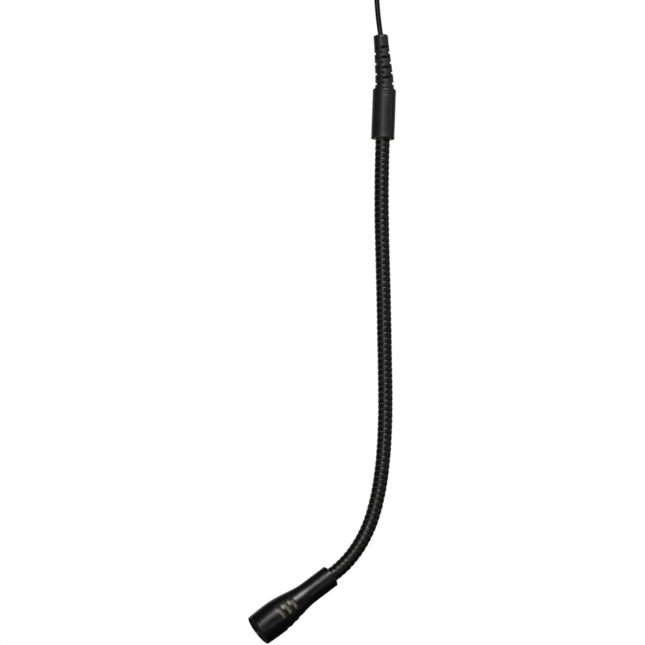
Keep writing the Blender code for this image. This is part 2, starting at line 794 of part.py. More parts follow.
def capsule_stack():
    """Where each piece behind the grille starts and ends, from the front face, a gap between each."""
    rows = (
        ("cloth", CLOTH_THICKNESS),
        ("gasket", 0.0008),
        ("can", CAPSULE_DEPTH),
        ("retainer", RETAINER_LENGTH),
    )
    at, found = GRILLE_RECESS + GRILLE_THICKNESS + GAP, {}
    for name, thickness in rows:
        if name == "gasket":
            at = max(at, FRONT_RING_LENGTH + GAP)
        found[name] = (at, at + thickness)
        at += thickness + GAP
    return found


def disc_in_head(name, frame, radius, span, finish_name, bore=0.0, sides=20):
    top, bottom = from_front(span[1]), from_front(span[0])
    outline = tube_outline(radius, bore, top, bottom) if bore else disc_outline(radius, top, bottom)
    return put(turned(name, outline, finish_name, sides=sides, ring=bool(bore)), frame)


def make_capsule(frame):
    """The capsule can and what is stacked in it, behind the grille and its cloth."""
    spans = capsule_stack()
    cloth_radius = CAPSULE_RADIUS + GASKET_WALL - 0.0002 - GAP
    seat_radius = HEAD_BORE - GAP
    gasket_bore = seat_radius - GASKET_WALL
    retainer_bore = CAPSULE_RADIUS - RETAINER_LIP
    inside = CAPSULE_RADIUS - CAPSULE_WALL - GAP
    made = [
        disc_in_head("grille_cloth", frame, cloth_radius, spans["cloth"], "black_cloth"),
        disc_in_head("capsule_gasket", frame, seat_radius, spans["gasket"], "boot_rubber", bore=gasket_bore),
        disc_in_head("capsule_retainer", frame, seat_radius, spans["retainer"], "brass", bore=retainer_bore),
    ]
    front, back = spans["can"]
    port = 0.0013
    can = [
        (CAPSULE_RADIUS, from_front(back)),
        (CAPSULE_RADIUS, from_front(front)),
        (port, from_front(front)),
        (port, from_front(front + CAPSULE_WALL)),
        (CAPSULE_RADIUS - CAPSULE_WALL, from_front(front + CAPSULE_WALL)),
        (CAPSULE_RADIUS - CAPSULE_WALL, from_front(back)),
    ]
    made.append(put(turned("capsule_can", can, "bright_aluminium", sides=24), frame))
    stack = (
        ("capsule_diaphragm", 0.00015, 0.0, "gold_film"),
        ("capsule_spacer", 0.0004, inside - 0.0007, "grip_nylon"),
        ("capsule_backplate", 0.0008, 0.0007, "brass"),
        ("capsule_board", 0.0008, 0.0, "board_green"),
    )
    at = front + CAPSULE_WALL + GAP
    for name, thickness, bore, finish_name in stack:
        made.append(disc_in_head(name, frame, inside, (at, at + thickness), finish_name, bore=bore))
        at += thickness + GAP
    return made


def make_preamp(frame):
    """The small circuit board in the flare, with a capacitor and a transistor on it."""
    front = HEAD_LAST_SLOT - 0.0035
    middle = from_front(front + BOARD_LENGTH / 2)
    board = box_piece(
        "preamp_board", (BOARD_WIDTH, BOARD_THICKNESS, BOARD_LENGTH), (0, 0, -middle), "board_green", 0.0001
    )
    part_height = 0.0018
    y = BOARD_THICKNESS / 2 + GAP + part_height / 2
    capacitor_size = (0.0032, part_height, 0.0028)
    transistor_size = (0.0026, part_height, 0.0016)
    capacitor = box_piece(
        "output_capacitor", capacitor_size, (0, -y, -middle - 0.0018), "tantalum_yellow", 0.0003
    )
    transistor = box_piece(
        "preamp_transistor", transistor_size, (0, -y, -middle + 0.0020), "grip_nylon", 0.0003
    )
    return [put(obj, frame) for obj in (board, capacitor, transistor)]


# --- Assembly -----------------------------------------------------------------------------------


def main():
    route, marks = whole_route()
    pivots = make_hinges(route, marks)
    make_ceiling_plate()
    make_cord_grip()
    make_grip_nut()
    make_cord()
    make_cord_tail(route, marks)
    make_strain_relief_boot(route, marks)
    collar_frame = route.place(marks["collar"])
    make_collar_sleeve(collar_frame)
    make_neck_ferrule("neck_ferrule_rear", collar_frame, COLLAR_LENGTH - FERRULE_LENGTH)
    make_cord_crimp(collar_frame)
    make_lead_splice(collar_frame)
    make_neck(route, marks, pivots)
    head_frame = route.place(marks["head"])
    head = [
        make_head_shell(head_frame),
        make_front_ring(head_frame),
        make_front_grille(head_frame),
        make_slot_screen(head_frame),
        make_neck_ferrule("neck_ferrule_front", head_frame, REAR_WALL + GAP),
        *make_capsule(head_frame),
        *make_preamp(head_frame),
    ]
    for piece in head:
        hang_on(piece, pivots, len(LINK_TURNS) - 1)
    for pivot in pivots[1:]:
        print(pivot[0].name, [round(c, 6) for c in pivot[1]])


clear_scene()
PIECES = new_collection("hanging_gooseneck_microphone")
CUTTERS = new_collection("cutters")
main()
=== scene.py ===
# %% [markdown]
# # A gooseneck microphone on its own cord
#
# The object is a small microphone that hangs from a ceiling fitting. From the top down it has a cord, a
# rubber strain relief, a collar, a springy gooseneck and a head with slots in its side.
#
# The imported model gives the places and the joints. This lesson builds the surfaces that are seen, rides
# them on the model's bodies, and then makes the finishes and the light.

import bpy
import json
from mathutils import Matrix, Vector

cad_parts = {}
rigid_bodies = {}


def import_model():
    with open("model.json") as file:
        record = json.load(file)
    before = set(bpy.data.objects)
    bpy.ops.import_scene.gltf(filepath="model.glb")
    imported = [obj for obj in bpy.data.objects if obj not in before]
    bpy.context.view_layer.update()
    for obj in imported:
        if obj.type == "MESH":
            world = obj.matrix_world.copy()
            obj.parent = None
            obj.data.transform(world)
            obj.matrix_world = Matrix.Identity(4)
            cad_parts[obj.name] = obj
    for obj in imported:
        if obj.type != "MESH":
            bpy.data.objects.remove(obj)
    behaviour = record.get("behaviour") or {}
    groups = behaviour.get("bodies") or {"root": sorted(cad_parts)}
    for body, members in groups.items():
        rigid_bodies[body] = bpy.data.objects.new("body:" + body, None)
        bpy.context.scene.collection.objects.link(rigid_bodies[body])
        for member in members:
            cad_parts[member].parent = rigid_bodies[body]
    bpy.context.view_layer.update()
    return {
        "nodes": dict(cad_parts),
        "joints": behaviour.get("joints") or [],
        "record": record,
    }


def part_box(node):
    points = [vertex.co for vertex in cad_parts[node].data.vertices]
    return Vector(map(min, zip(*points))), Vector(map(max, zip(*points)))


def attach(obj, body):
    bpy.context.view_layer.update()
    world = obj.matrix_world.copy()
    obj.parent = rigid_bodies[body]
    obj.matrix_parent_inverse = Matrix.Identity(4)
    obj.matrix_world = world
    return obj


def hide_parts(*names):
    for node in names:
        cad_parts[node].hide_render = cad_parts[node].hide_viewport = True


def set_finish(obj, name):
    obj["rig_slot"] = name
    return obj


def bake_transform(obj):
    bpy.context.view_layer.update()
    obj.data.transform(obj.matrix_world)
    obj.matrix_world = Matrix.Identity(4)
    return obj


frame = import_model()

# %% Modules
import json
import math
import random

import bmesh
import bpy
import numpy as np
from mathutils import Matrix, Vector

MM = 0.001

# %% [markdown]
# ## The camera
#
# A long lens from far away flattens the object, as in a catalogue picture. It could also be an orthographic
# camera, but then the head would lose the slight growth that a real lens gives to what is nearer. The
# camera looks a little upwards, from the left of the front.

# %% Camera
CAMERA_AIM = Vector((-0.02534, 0.0, -0.18311))
CAMERA_DISTANCE = 1.442163
CAMERA_AZIMUTH = math.radians(-16.0)
CAMERA_ELEVATION = math.radians(-5.0)


def towards(azimuth, elevation):
    """The unit vector from the object to a viewer or a light at those angles."""
    level = math.cos(elevation)
    return Vector((math.sin(azimuth) * level, -math.cos(azimuth) * level, math.sin(elevation)))


def look_from(obj, direction, distance, aim):
    obj.location = aim + direction * distance
    obj.rotation_euler = (-direction).to_track_quat("-Z", "Y").to_euler()
    bpy.context.scene.collection.objects.link(obj)


lens = bpy.data.cameras.new("camera")
lens.lens = 180.0
lens.sensor_width = 36.0
lens.clip_start = 0.01
camera = bpy.data.objects.new("camera", lens)
look_from(camera, towards(CAMERA_AZIMUTH, CAMERA_ELEVATION), CAMERA_DISTANCE, CAMERA_AIM)
bpy.context.scene.camera = camera
print("camera stands at", tuple(round(c, 3) for c in camera.location))

# %% [markdown]
# ## The cord
#
# The cord carries the microphone's small weight from the ceiling grip to the mouth of the strain relief. It
# leaves the grip straight down and leans a little to the side where the rubber takes it. A curve with a
# round bevel is turned into a mesh, and the centreline is kept as a list of points, so the length stays
# easy to measure.

# %% Cord
CORD_ROUTE = (
    (0.0, -0.0020),
    (0.0, -0.0100),
    (0.0, -0.0180),
    (0.0, -0.0258),
    (0.00013, -0.0323),
    (0.00051, -0.0388),
    (0.00115, -0.0453),
    (0.00204, -0.0517),
)
CORD_SPAN_STEPS = 5


def smooth_through(points, steps):
    """A smooth curve through the points, each span in that many steps."""
    ends = [2 * points[0] - points[1], *points, 2 * points[-1] - points[-2]]
    found = [points[0]]
    for a, b, c, d in zip(ends, ends[1:], ends[2:], ends[3:]):
        for i in range(1, steps + 1):
            t = i / steps
            bend = (2 * a - 5 * b + 4 * c - d) * t**2 + (3 * b - a - 3 * c + d) * t**3
            found.append(0.5 * (2 * b + (c - a) * t + bend))
    return found


def wire_tube(name, points, radius):
    """A round wire through the points: one open spline with a bevel, turned into a mesh."""
    curve = bpy.data.curves.new("wire_path", "CURVE")
    curve.dimensions = "3D"
    curve.bevel_depth = radius
    curve.bevel_resolution = 8
    curve.use_fill_caps = True
    spline = curve.splines.new("POLY")
    spline.points.add(len(points) - 1)
    for place, point in zip(spline.points, points):
        place.co = (*point, 1.0)
    spline.use_smooth = True
    bent = bpy.data.objects.new("wire_path", curve)
    mesh = bpy.data.meshes.new_from_object(bent)
    bpy.data.objects.remove(bent)
    bpy.data.curves.remove(curve)
    mesh.name = name
    obj = bpy.data.objects.new(name, mesh)
    bpy.context.scene.collection.objects.link(obj)
    return obj


cord_low, cord_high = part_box("cord")
cord_radius = (cord_high.y - cord_low.y) / 2
cord_points = smooth_through([Vector((x, 0.0, z)) for x, z in CORD_ROUTE], CORD_SPAN_STEPS)
boot_mouth = cord_points[-1].copy()
cord_points[-1] += 0.5 * MM * (cord_points[-1] - cord_points[-2]).normalized()
cord_line = wire_tube("cord_line", cord_points, cord_radius)
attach(cord_line, "base")
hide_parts("cord")
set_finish(cord_line, "cord_jacket")

# %% [markdown]
# ## The line that everything follows
#
# The rubber, the collar, the gooseneck and the head lie end to end on one line of arcs. Its shape is in the
# model's joints: each hinge gives a place on the line, and each sideways hinge also gives its slope there.
# A heading is the angle from straight down towards the left.

# %% Line of arcs
mounts = {mount["name"]: mount for mount in frame["record"]["mounts"]}
hinges = sorted(frame["joints"], key=lambda joint: int(joint["name"][-2:]))


def heading_of(direction):
    return math.atan2(-direction[0], -direction[2])


def down(heading):
    return Vector((-math.sin(heading), 0.0, -math.cos(heading)))


class Line:
    """Arcs end to end in the XZ plane, each (length, heading at its top, heading at its bottom)."""

    def __init__(self, start, arcs):
        self.arcs = []
        at, travelled = Vector(start), 0.0
        for length, first, last in arcs:
            self.arcs.append((travelled, length, first, last, at))
            at = self.point(travelled + length)
            travelled += length
        self.length = travelled

    def arc_at(self, distance):
        found = self.arcs[0]
        for arc in self.arcs:
            if distance >= arc[0] - 1e-9:
                found = arc
        return found

    def heading(self, distance):
        start, length, first, last, _ = self.arc_at(distance)
        return first + (last - first) * min(max((distance - start) / length, 0.0), 1.0)

    def point(self, distance):
        start, length, first, last, at = self.arc_at(distance)
        along = distance - start
        if along < 0:
            return at + along * down(first)
        beyond = max(along - length, 0.0)
        along -= beyond
        turn = (last - first) / length
        if abs(turn) < 1e-9:
            at = at + along * down(first)
        else:
            heading = first + turn * along
            across = (math.cos(heading) - math.cos(first)) / turn
            fallen = (math.sin(heading) - math.sin(first)) / turn
            at = at + Vector((across, 0, -fallen))
        return at + beyond * down(last)

    def place(self, distance):
        """The frame at a distance: its Z axis looks back up the line."""
        return Matrix.Translation(self.point(distance)) @ Matrix.Rotation(self.heading(distance), 4, "Y")


def middle_of(mount):
    x, _, z = mounts[mount]["pos_m"]
    return Vector((x, 0.0, z))


collar_foot = middle_of("collar_lower_face")
collar_heading = heading_of(mounts["collar_lower_face"]["axis"])
head_front = middle_of("head_front_ring")
head_heading = heading_of(mounts["head_front_ring"]["axis"])

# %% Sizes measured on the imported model


def reach(node, origin, axis):
    """How far a CAD node reaches back along an axis from a point, and its widest radius about the axis."""
    axis = np.array(axis)
    spots = np.array([v.co for v in frame["nodes"][node].data.vertices]) - np.array(origin)
    along = spots @ axis
    radius = np.linalg.norm(spots - np.outer(along, axis), axis=1)
    return -float(along.min()), float(radius.max())


collar_length, collar_radius = reach("collar_sleeve", collar_foot, down(collar_heading))
collar_top = collar_foot - collar_length * down(collar_heading)
head_length, _ = reach("head_shell", head_front, down(head_heading))
head_rear = head_front - head_length * down(head_heading)
print(f"collar {1000 * collar_length:.2f} mm long, radius {1000 * collar_radius:.2f} mm")
print(f"head {1000 * head_length:.2f} mm long")

# %% The gooseneck's line


def neck_arcs():
    """One arc for each link, from the collar's foot through every hinge, and a short straight end."""
    stops = [collar_foot, *(Vector(hinge["pos_m"]) for hinge in hinges)]
    arcs, first = [], collar_heading
    for top, bottom, hinge in zip(stops, stops[1:], hinges):
        chord, axis = bottom - top, hinge["axis"]
        sideways = abs(axis[1]) < 0.5
        last = math.atan2(-axis[2], axis[0]) if sideways else 2 * heading_of(chord) - first
        half = (last - first) / 2
        stretch = half / math.sin(half) if abs(half) > 1e-6 else 1.0
        arcs.append((chord.length * stretch, first, last))
        first = last
    turn = head_heading - first
    sine, cosine = math.sin(head_heading), math.cos(head_heading)
    curved = Vector((cosine - math.cos(first), math.sin(first) - sine)) / turn
    straight = Vector((-sine, -cosine))
    left = Vector((head_rear.x - stops[-1].x, head_rear.z - stops[-1].z))
    area = curved.x * straight.y - curved.y * straight.x
    arcs.append(((left.x * straight.y - left.y * straight.x) / area, first, head_heading))
    arcs.append(((curved.x * left.y - curved.y * left.x) / area, head_heading, head_heading))
    return arcs


neck_line = Line(collar_foot, neck_arcs())
LINK_TURNS = 6
whole_links = neck_line.arcs[1:len(hinges)]
neck_pitch = sum(arc[1] for arc in whole_links) / len(whole_links) / LINK_TURNS
neck_turns = neck_line.length / neck_pitch
link_low, link_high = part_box("neck_coil_05")
neck_radius = (link_high.y - link_low.y) / 2
drift = (neck_line.point(neck_line.length) - head_rear).length
print(f"gooseneck {1000 * neck_line.length:.1f} mm long, radius {1000 * neck_radius:.3f} mm")
print(f"{neck_turns:.1f} turns, {1000 * neck_pitch:.3f} mm apart, closing error {1000 * drift:.3f} mm")

# %% [markdown]
# ## Tools for turned pieces
#
# Most of the pieces were turned on a lathe or moulded round a cord, so one helper spins an outline.
# Blender's Screw modifier could do it too. Writing the rings of points directly lets the same grid leave
# windows open, which the strain relief and the head both need, with clean square faces round each window
# and no Boolean.

# %% Mesh helpers


def new_mesh(name, verts, faces):
    bm = bmesh.new()
    made = [bm.verts.new(v) for v in verts]
    for face in faces:
        bm.faces.new([made[i] for i in face])
    bmesh.ops.recalc_face_normals(bm, faces=bm.faces)
    mesh = bpy.data.meshes.new(name)
    bm.to_mesh(mesh)
    bm.free()
    obj = bpy.data.objects.new(name, mesh)
    bpy.context.scene.collection.objects.link(obj)
    return obj


def smooth(obj, angle=38.0):
    obj.data.shade_smooth()
    obj.data.set_sharp_from_angle(angle=math.radians(angle))
    return obj


def bake(obj):
    """Applies the modifiers."""
    graph = bpy.context.evaluated_depsgraph_get()
    obj.data = bpy.data.meshes.new_from_object(obj.evaluated_get(graph))
    obj.modifiers.clear()
    return obj


def round_edges(obj, width, segments=3, angle=40.0):
    bevel = obj.modifiers.new("rounded_edges", "BEVEL")
    bevel.width = width
    bevel.segments = segments
    bevel.limit_method = "ANGLE"
    bevel.angle_limit = math.radians(angle)
    return smooth(bake(obj), angle=50.0)


def softened(outline, size, steps=4):
    """The outline of (radius, depth) points with its inner corners rounded."""
    found = [outline[0]]
    for before, corner, after in zip(outline, outline[1:], outline[2:]):
        a, b, c = Vector(before), Vector(corner), Vector(after)
        room = 0.45 * min((b - a).length, (c - b).length)
        first = b + (a - b).normalized() * min(size, room)
        last = b + (c - b).normalized() * min(size, room)
        for i in range(steps + 1):
            t = i / steps
            found.append(tuple(first.lerp(b, t).lerp(b.lerp(last, t), t)))
    found.append(outline[-1])
    return found


def divided(outline, longest):
    """The outline with its long sides cut into shorter ones, so that the piece can bend."""
    found = [outline[0]]
    for a, b in zip(outline, outline[1:]):
        count = max(1, math.ceil((Vector(b) - Vector(a)).length / longest))
        found += [tuple(Vector(a).lerp(Vector(b), i / count)) for i in range(1, count + 1)]
    return found


def band(low, high, sides):
    """The faces between two rings of points that start at those numbers."""
    return [(low + j, low + (j + 1) % sides, high + (j + 1) % sides, high + j) for j in range(sides)]


def turned(name, outline, sides=96, closed=True):
    """A turned piece from (radius, depth down from its top end). A closed outline makes a ring."""
    verts = []
    for radius, depth in outline:
        for j in range(sides):
            angle = math.tau * j / sides
            verts.append((radius * math.cos(angle), radius * math.sin(angle), -depth))
    rows = len(outline)
    faces = []
    for i in range(rows if closed else rows - 1):
        faces += band(i * sides, (i + 1) % rows * sides, sides)
    return smooth(new_mesh(name, verts, faces))


def steps_between(stops, widest):
    """The stops, with even steps of at most that width between them."""
    found = [stops[0]]
    for a, b in zip(stops, stops[1:]):
        count = max(1, math.ceil((b - a) / widest - 1e-6))
        found += [a + (b - a) * i / count for i in range(1, count + 1)]
    return found


def quarter(size, steps):
    """Steps of a quarter circle, as how far it has turned in and how far it has run."""
    angles = [math.radians(90 * i / steps) for i in range(steps + 1)]
    return [(size * (1 - math.cos(angle)), size * math.sin(angle)) for angle in angles]


def rounded_depths(size):
    """Depths down a rounded end, closer together near its top."""
    return [depth for depth, _ in quarter(size, 5)]


def rounded_off(depth, size):
    """How much narrower a rounded end is at a depth."""
    rise = max(0.0, (size - depth) / size)
    return size * (1 - math.sqrt(max(0.0, 1 - rise * rise)))


def windowed_shell(depths, angles, outer, inner, is_window):
    """Points and faces of a turned shell with windows. is_window(depth, angle) says what is left open."""
    rows, columns = len(depths), len(angles)
    verts, faces = [], []
    for radius_at in (outer, inner):
        for depth in depths:
            radius = radius_at(depth)
            verts += [(radius * math.cos(a), radius * math.sin(a), -depth) for a in angles]

    def spot(side, i, j):
        return side * rows * columns + i * columns + j % columns

    def is_open(i, j):
        if not 0 <= i < rows - 1:
            return False
        after = angles[(j + 1) % columns] + (math.tau if (j + 1) % columns == 0 else 0.0)
        return is_window((depths[i] + depths[i + 1]) / 2, (angles[j % columns] + after) / 2)

    def wall(start, end):
        faces.append((spot(0, *start), spot(0, *end), spot(1, *end), spot(1, *start)))

    for i in range(rows - 1):
        for j in range(columns):
            if is_open(i, j):
                continue
            corners = (i, j), (i, j + 1), (i + 1, j + 1), (i + 1, j)
            for side in (0, 1):
                faces.append([spot(side, *corner) for corner in corners])
            if is_open(i, j + 1):
                wall(corners[1], corners[2])
            if is_open(i, j - 1):
                wall(corners[0], corners[3])
            if i == 0 or is_open(i - 1, j):
                wall(corners[0], corners[1])
            if i == rows - 2 or is_open(i + 1, j):
                wall(corners[3], corners[2])
    return verts, faces


def put(obj, place, body, slot, *nodes):
    """Places a piece, rides it on a body and says what it stands for."""
    obj.matrix_world = place
    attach(obj, body)
    if nodes:
        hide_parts(*nodes)
    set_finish(obj, slot)
    print(f"{obj.name}: {len(obj.data.polygons)} faces")
    return obj


def follow(obj, line, distance):
    """Bends a straight piece, whose top end is at that distance, along the line."""
    for vertex in obj.data.vertices:
        x, y, z = vertex.co
        vertex.co = line.place(distance - z) @ Vector((x, y, 0.0))
    return obj


# %% [markdown]
# ## The ceiling fitting
#
# A round enamelled plate is screwed to the ceiling, and a nylon grip below it pinches the cord. The plate
# is a turned disc with a rolled edge and two countersunk screw holes. The holes could be left open in the
# grid, but two round holes beside the axis don't follow the rings, so here a Boolean is the plain choice.

# %% Ceiling plate
plate_low, plate_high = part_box("ceiling_plate")
grip_low, grip_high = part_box("cord_grip")
plate_radius = (plate_high.y - plate_low.y) / 2
plate_thickness = plate_high.z - plate_low.z
flange_radius = (grip_high.y - grip_low.y) / 2
SCREW_SPACING = 26.0 * MM
SCREW_HOLE_RADIUS = 1.9 * MM
SCREW_HEAD_RADIUS = 3.6 * MM
STEM_HOLE_RADIUS = 3.9 * MM
PLATE_EDGE = 1.3 * MM
PLATE_STEP = 0.3 * MM


def plate_outline():
    top_edge = 0.2 * MM
    outline = [(STEM_HOLE_RADIUS, 0.0), (plate_radius - top_edge, 0.0), (plate_radius, top_edge)]
    for shrink, drop in quarter(PLATE_EDGE, 8):
        outline.append((plate_radius - shrink, plate_thickness - PLATE_EDGE + drop))
    step_radius = flange_radius + 1.4 * MM
    floor = plate_thickness - PLATE_STEP
    outline += [(step_radius, plate_thickness), (step_radius - PLATE_STEP, floor), (STEM_HOLE_RADIUS, floor)]
    return outline


def drill(obj, x, radius_top, radius_bottom, top, bottom):
    bm = bmesh.new()
    shift = Matrix.Translation((x, 0.0, -(top + bottom) / 2))
    size = {"radius1": radius_bottom, "radius2": radius_top, "depth": bottom - top}
    bmesh.ops.create_cone(bm, cap_ends=True, segments=40, matrix=shift, **size)
    mesh = bpy.data.meshes.new("drill")
    bm.to_mesh(mesh)
    bm.free()
    bit = bpy.data.objects.new("drill", mesh)
    bpy.context.scene.collection.objects.link(bit)
    hole = obj.modifiers.new("hole", "BOOLEAN")
    hole.object = bit
    bake(obj)
    bpy.data.objects.remove(bit)


ceiling_disc = turned("ceiling_disc", plate_outline(), sides=128)
for side in (-1, 1):
    middle = side * SCREW_SPACING / 2
    sink = SCREW_HEAD_RADIUS - SCREW_HOLE_RADIUS
    drill(ceiling_disc, middle, SCREW_HOLE_RADIUS, SCREW_HOLE_RADIUS, -MM, plate_thickness + MM)
    wide = SCREW_HEAD_RADIUS + 0.5 * MM
    narrow = SCREW_HOLE_RADIUS - 0.01 * MM
    drill(ceiling_disc, middle, narrow, wide, plate_thickness - sink, plate_thickness + 0.5 * MM)
round_edges(ceiling_disc, 0.12 * MM, segments=2)
ceiling_top = Matrix.Translation((0.0, 0.0, plate_high.z))
put(ceiling_disc, ceiling_top, "base", "plate_enamel", "ceiling_plate")

# %% [markdown]
# ## The cord grip
#
# The grip is a moulded nylon gland: a fluted flange against the plate, then a tail that tapers onto
# the cord. The flutes are pressed into the turned surface by moving its points in and out with the angle.

# %% Cord grip
grip_height = grip_high.z - grip_low.z
GRIP_FLUTES = 24
FLUTE_DEPTH = 0.28 * MM
GRIP_STEM_RADIUS = 3.6 * MM
grip_bore = cord_radius + 0.12 * MM
flange_top = plate_high.z - plate_thickness + 0.05 * MM - PLATE_STEP
flange_depth = grip_high.z - flange_top
FLANGE_HEIGHT = 3.0 * MM
TAIL_WALL = 1.1 * MM


def grip_outline():
    flange_foot = flange_depth + FLANGE_HEIGHT
    tail_radius = cord_radius + TAIL_WALL
    corners = [
        (GRIP_STEM_RADIUS, 0.0),
        (GRIP_STEM_RADIUS, flange_depth),
        (flange_radius, flange_depth),
        (flange_radius, flange_foot - 0.5 * MM),
        (flange_radius - 0.9 * MM, flange_foot),
        (3.2 * MM, flange_foot + 0.4 * MM),
        (tail_radius + 0.2 * MM, flange_foot + 5.5 * MM),
        (tail_radius, grip_height - 0.4 * MM),
        (grip_bore, grip_height),
        (grip_bore, 0.0),
    ]
    return softened(corners, 0.45 * MM)


def flute(obj):
    """Shallow flutes round the flange."""
    for vertex in obj.data.vertices:
        radius = math.hypot(vertex.co.x, vertex.co.y)
        if radius < flange_radius - 0.3 * MM:
            continue
        wave = 0.5 - 0.5 * math.cos(GRIP_FLUTES * math.atan2(vertex.co.y, vertex.co.x))
        shrink = 1 - FLUTE_DEPTH * wave / radius
        vertex.co.x *= shrink
        vertex.co.y *= shrink


grip_gland = turned("grip_gland", grip_outline(), sides=8 * GRIP_FLUTES)
flute(grip_gland)
put(grip_gland, Matrix.Translation((0.0, 0.0, grip_high.z)), "base", "grip_nylon", "cord_grip")

# %% [markdown]
# ## The strain relief
#
# A boot of soft rubber is moulded over the cord so that it bends gently. Eight rings of slots are cut down
# to a thin core, and each ring of slots is turned by about a quarter from the one above. It could be cut
# with Booleans, but rubber edges are soft, and a clean grid takes a bevel much better.

# %% Strain relief
BOOT_LENGTH = 24.7 * MM
BOOT_BENDS = ((0.0, -5.0), (0.72, -5.0), (1.0, 0.8))
BOOT_TOP_RADIUS = 3.33 * MM
BOOT_FOOT_RADIUS = 4.32 * MM
BOOT_SLOT_DEPTH = 1.0 * MM
BOOT_WALL_DEPTH = 2.0 * MM
BOOT_PLAIN_CAP = 5.4 * MM
BOOT_TAPER_TOP = 0.8 * BOOT_PLAIN_CAP
BOOT_SLOT_PITCH = 2.335 * MM
BOOT_SLOT_HEIGHT = 1.24 * MM
BOOT_SLOTS = ((math.radians(-94.0), math.radians(150.0)), (math.radians(12.0), math.radians(125.0)))
BOOT_RINGS = 8
BOOT_SHOULDER = 1.0 * MM


def boot_line():
    arcs = []
    for (share, first), (next_share, last) in zip(BOOT_BENDS, BOOT_BENDS[1:]):
        arcs.append(((next_share - share) * BOOT_LENGTH, math.radians(first), math.radians(last)))
    return Line(boot_mouth, arcs)


def boot_radius(depth):
    share = min(max((depth - BOOT_TAPER_TOP) / (BOOT_LENGTH - BOOT_TAPER_TOP), 0.0), 1.0)
    radius = BOOT_TOP_RADIUS + (BOOT_FOOT_RADIUS - BOOT_TOP_RADIUS) * share
    return radius - rounded_off(depth, BOOT_SHOULDER)


def core_radius(depth, down_to=BOOT_SLOT_DEPTH):
    return boot_radius(max(depth, BOOT_SHOULDER)) - down_to


def boot_wall_inner(depth):
    return core_radius(depth, BOOT_WALL_DEPTH)


def boot_slot_open(depth, angle):
    ring = (depth - BOOT_PLAIN_CAP) / BOOT_SLOT_PITCH
    number = math.floor(ring)
    if not 0 <= number < BOOT_RINGS or (ring - number) * BOOT_SLOT_PITCH > BOOT_SLOT_HEIGHT:
        return False
    centre, arc = BOOT_SLOTS[number % 2]
    turn = (angle - centre + math.pi / 2) % math.pi - math.pi / 2
    return abs(turn) < arc / 2


def boot_grid():
    first = rounded_depths(BOOT_SHOULDER)
    stops = [first[-1]]
    for ring in range(BOOT_RINGS):
        top = BOOT_PLAIN_CAP + ring * BOOT_SLOT_PITCH
        stops += [top, top + BOOT_SLOT_HEIGHT]
    stops.append(BOOT_LENGTH - 0.1 * MM)
    depths = first[:-1] + steps_between(stops, 0.45 * MM)
    half_arcs = [(centre, side * arc / 2) for centre, arc in BOOT_SLOTS for side in (-1, 1)]
    edges = sorted((centre + half + turn) % math.tau for centre, half in half_arcs for turn in (0, math.pi))
    angles = steps_between([*edges, edges[0] + math.tau], math.radians(4.0))[:-1]
    return depths, angles


boot_shell = windowed_shell(*boot_grid(), boot_radius, boot_wall_inner, boot_slot_open)
boot_rubber = round_edges(new_mesh("boot_rubber", *boot_shell), 0.16 * MM)
BOOT_STEM_RADIUS = 2.9 * MM
BOOT_STEM_END = BOOT_LENGTH + 4.0 * MM
CORE_TOP = 0.5 * MM
CORE_FLATNESS = 0.6
core_foot = BOOT_LENGTH - 0.1 * MM
core_bore = cord_radius + 0.1 * MM
core_outline = [
    (core_radius(CORE_TOP), CORE_TOP),
    (core_radius(BOOT_TAPER_TOP), BOOT_TAPER_TOP),
    (core_radius(BOOT_LENGTH), core_foot),
    (BOOT_STEM_RADIUS, core_foot),
    (BOOT_STEM_RADIUS, BOOT_STEM_END),
    (core_bore, BOOT_STEM_END),
    (core_bore, CORE_TOP),
]
boot_core = turned("boot_core", divided(core_outline, MM), sides=64)
for vertex in boot_core.data.vertices:
    if vertex.co.z > 0.3 * MM - BOOT_LENGTH:
        vertex.co.y *= CORE_FLATNESS
rubber_line = boot_line()
foot_gap = (rubber_line.point(BOOT_LENGTH) - collar_top).length
print(f"boot foot misses the collar's top by {1000 * foot_gap:.3f} mm")
for rubber, replaced in ((boot_rubber, ["strain_relief_boot"]), (boot_core, [])):
    follow(rubber, rubber_line, 0.0)
    put(rubber, Matrix.Identity(4), "base", "boot_rubber", *replaced)

# %% [markdown]
# ## The collar
#
# A plain black sleeve joins the rubber to the gooseneck. Its top edge is rounded over, two fine grooves run
# round it near the top, and its foot stands out by a hair. All of that is in the turned outline, because
# edges this small are only seen by the light that they catch.

# %% Collar
COLLAR_BORE_TOP = 3.2 * MM
COLLAR_BORE = 4.4 * MM
COLLAR_TOP_THICKNESS = 1.6 * MM
COLLAR_ROUND = 0.95 * MM
COLLAR_GROOVES = (1.75 * MM, 3.0 * MM)
GROOVE_DEPTH = 0.03 * MM
GROOVE_HALF_WIDTH = 0.12 * MM
LIP_HEIGHT = 0.85 * MM
LIP_STEP = 0.03 * MM


def collar_outline():
    outline = [(COLLAR_BORE_TOP, 0.0)]
    side = collar_radius - LIP_STEP
    for drop, out in quarter(COLLAR_ROUND, 10):
        outline.append((side - COLLAR_ROUND + out, drop))
    for groove in COLLAR_GROOVES:
        above, below = groove - GROOVE_HALF_WIDTH, groove + GROOVE_HALF_WIDTH
        outline += [(side, above), (side - GROOVE_DEPTH, groove), (side, below)]
    lip_top = collar_length - LIP_HEIGHT
    return outline + [
        (side, lip_top - 0.15 * MM),
        (collar_radius, lip_top),
        (collar_radius, collar_length - 0.25 * MM),
        (collar_radius - 0.08 * MM, collar_length - 0.07 * MM),
        (collar_radius - 0.25 * MM, collar_length),
        (COLLAR_BORE, collar_length),
        (COLLAR_BORE, COLLAR_TOP_THICKNESS),
        (COLLAR_BORE_TOP, COLLAR_TOP_THICKNESS),
    ]


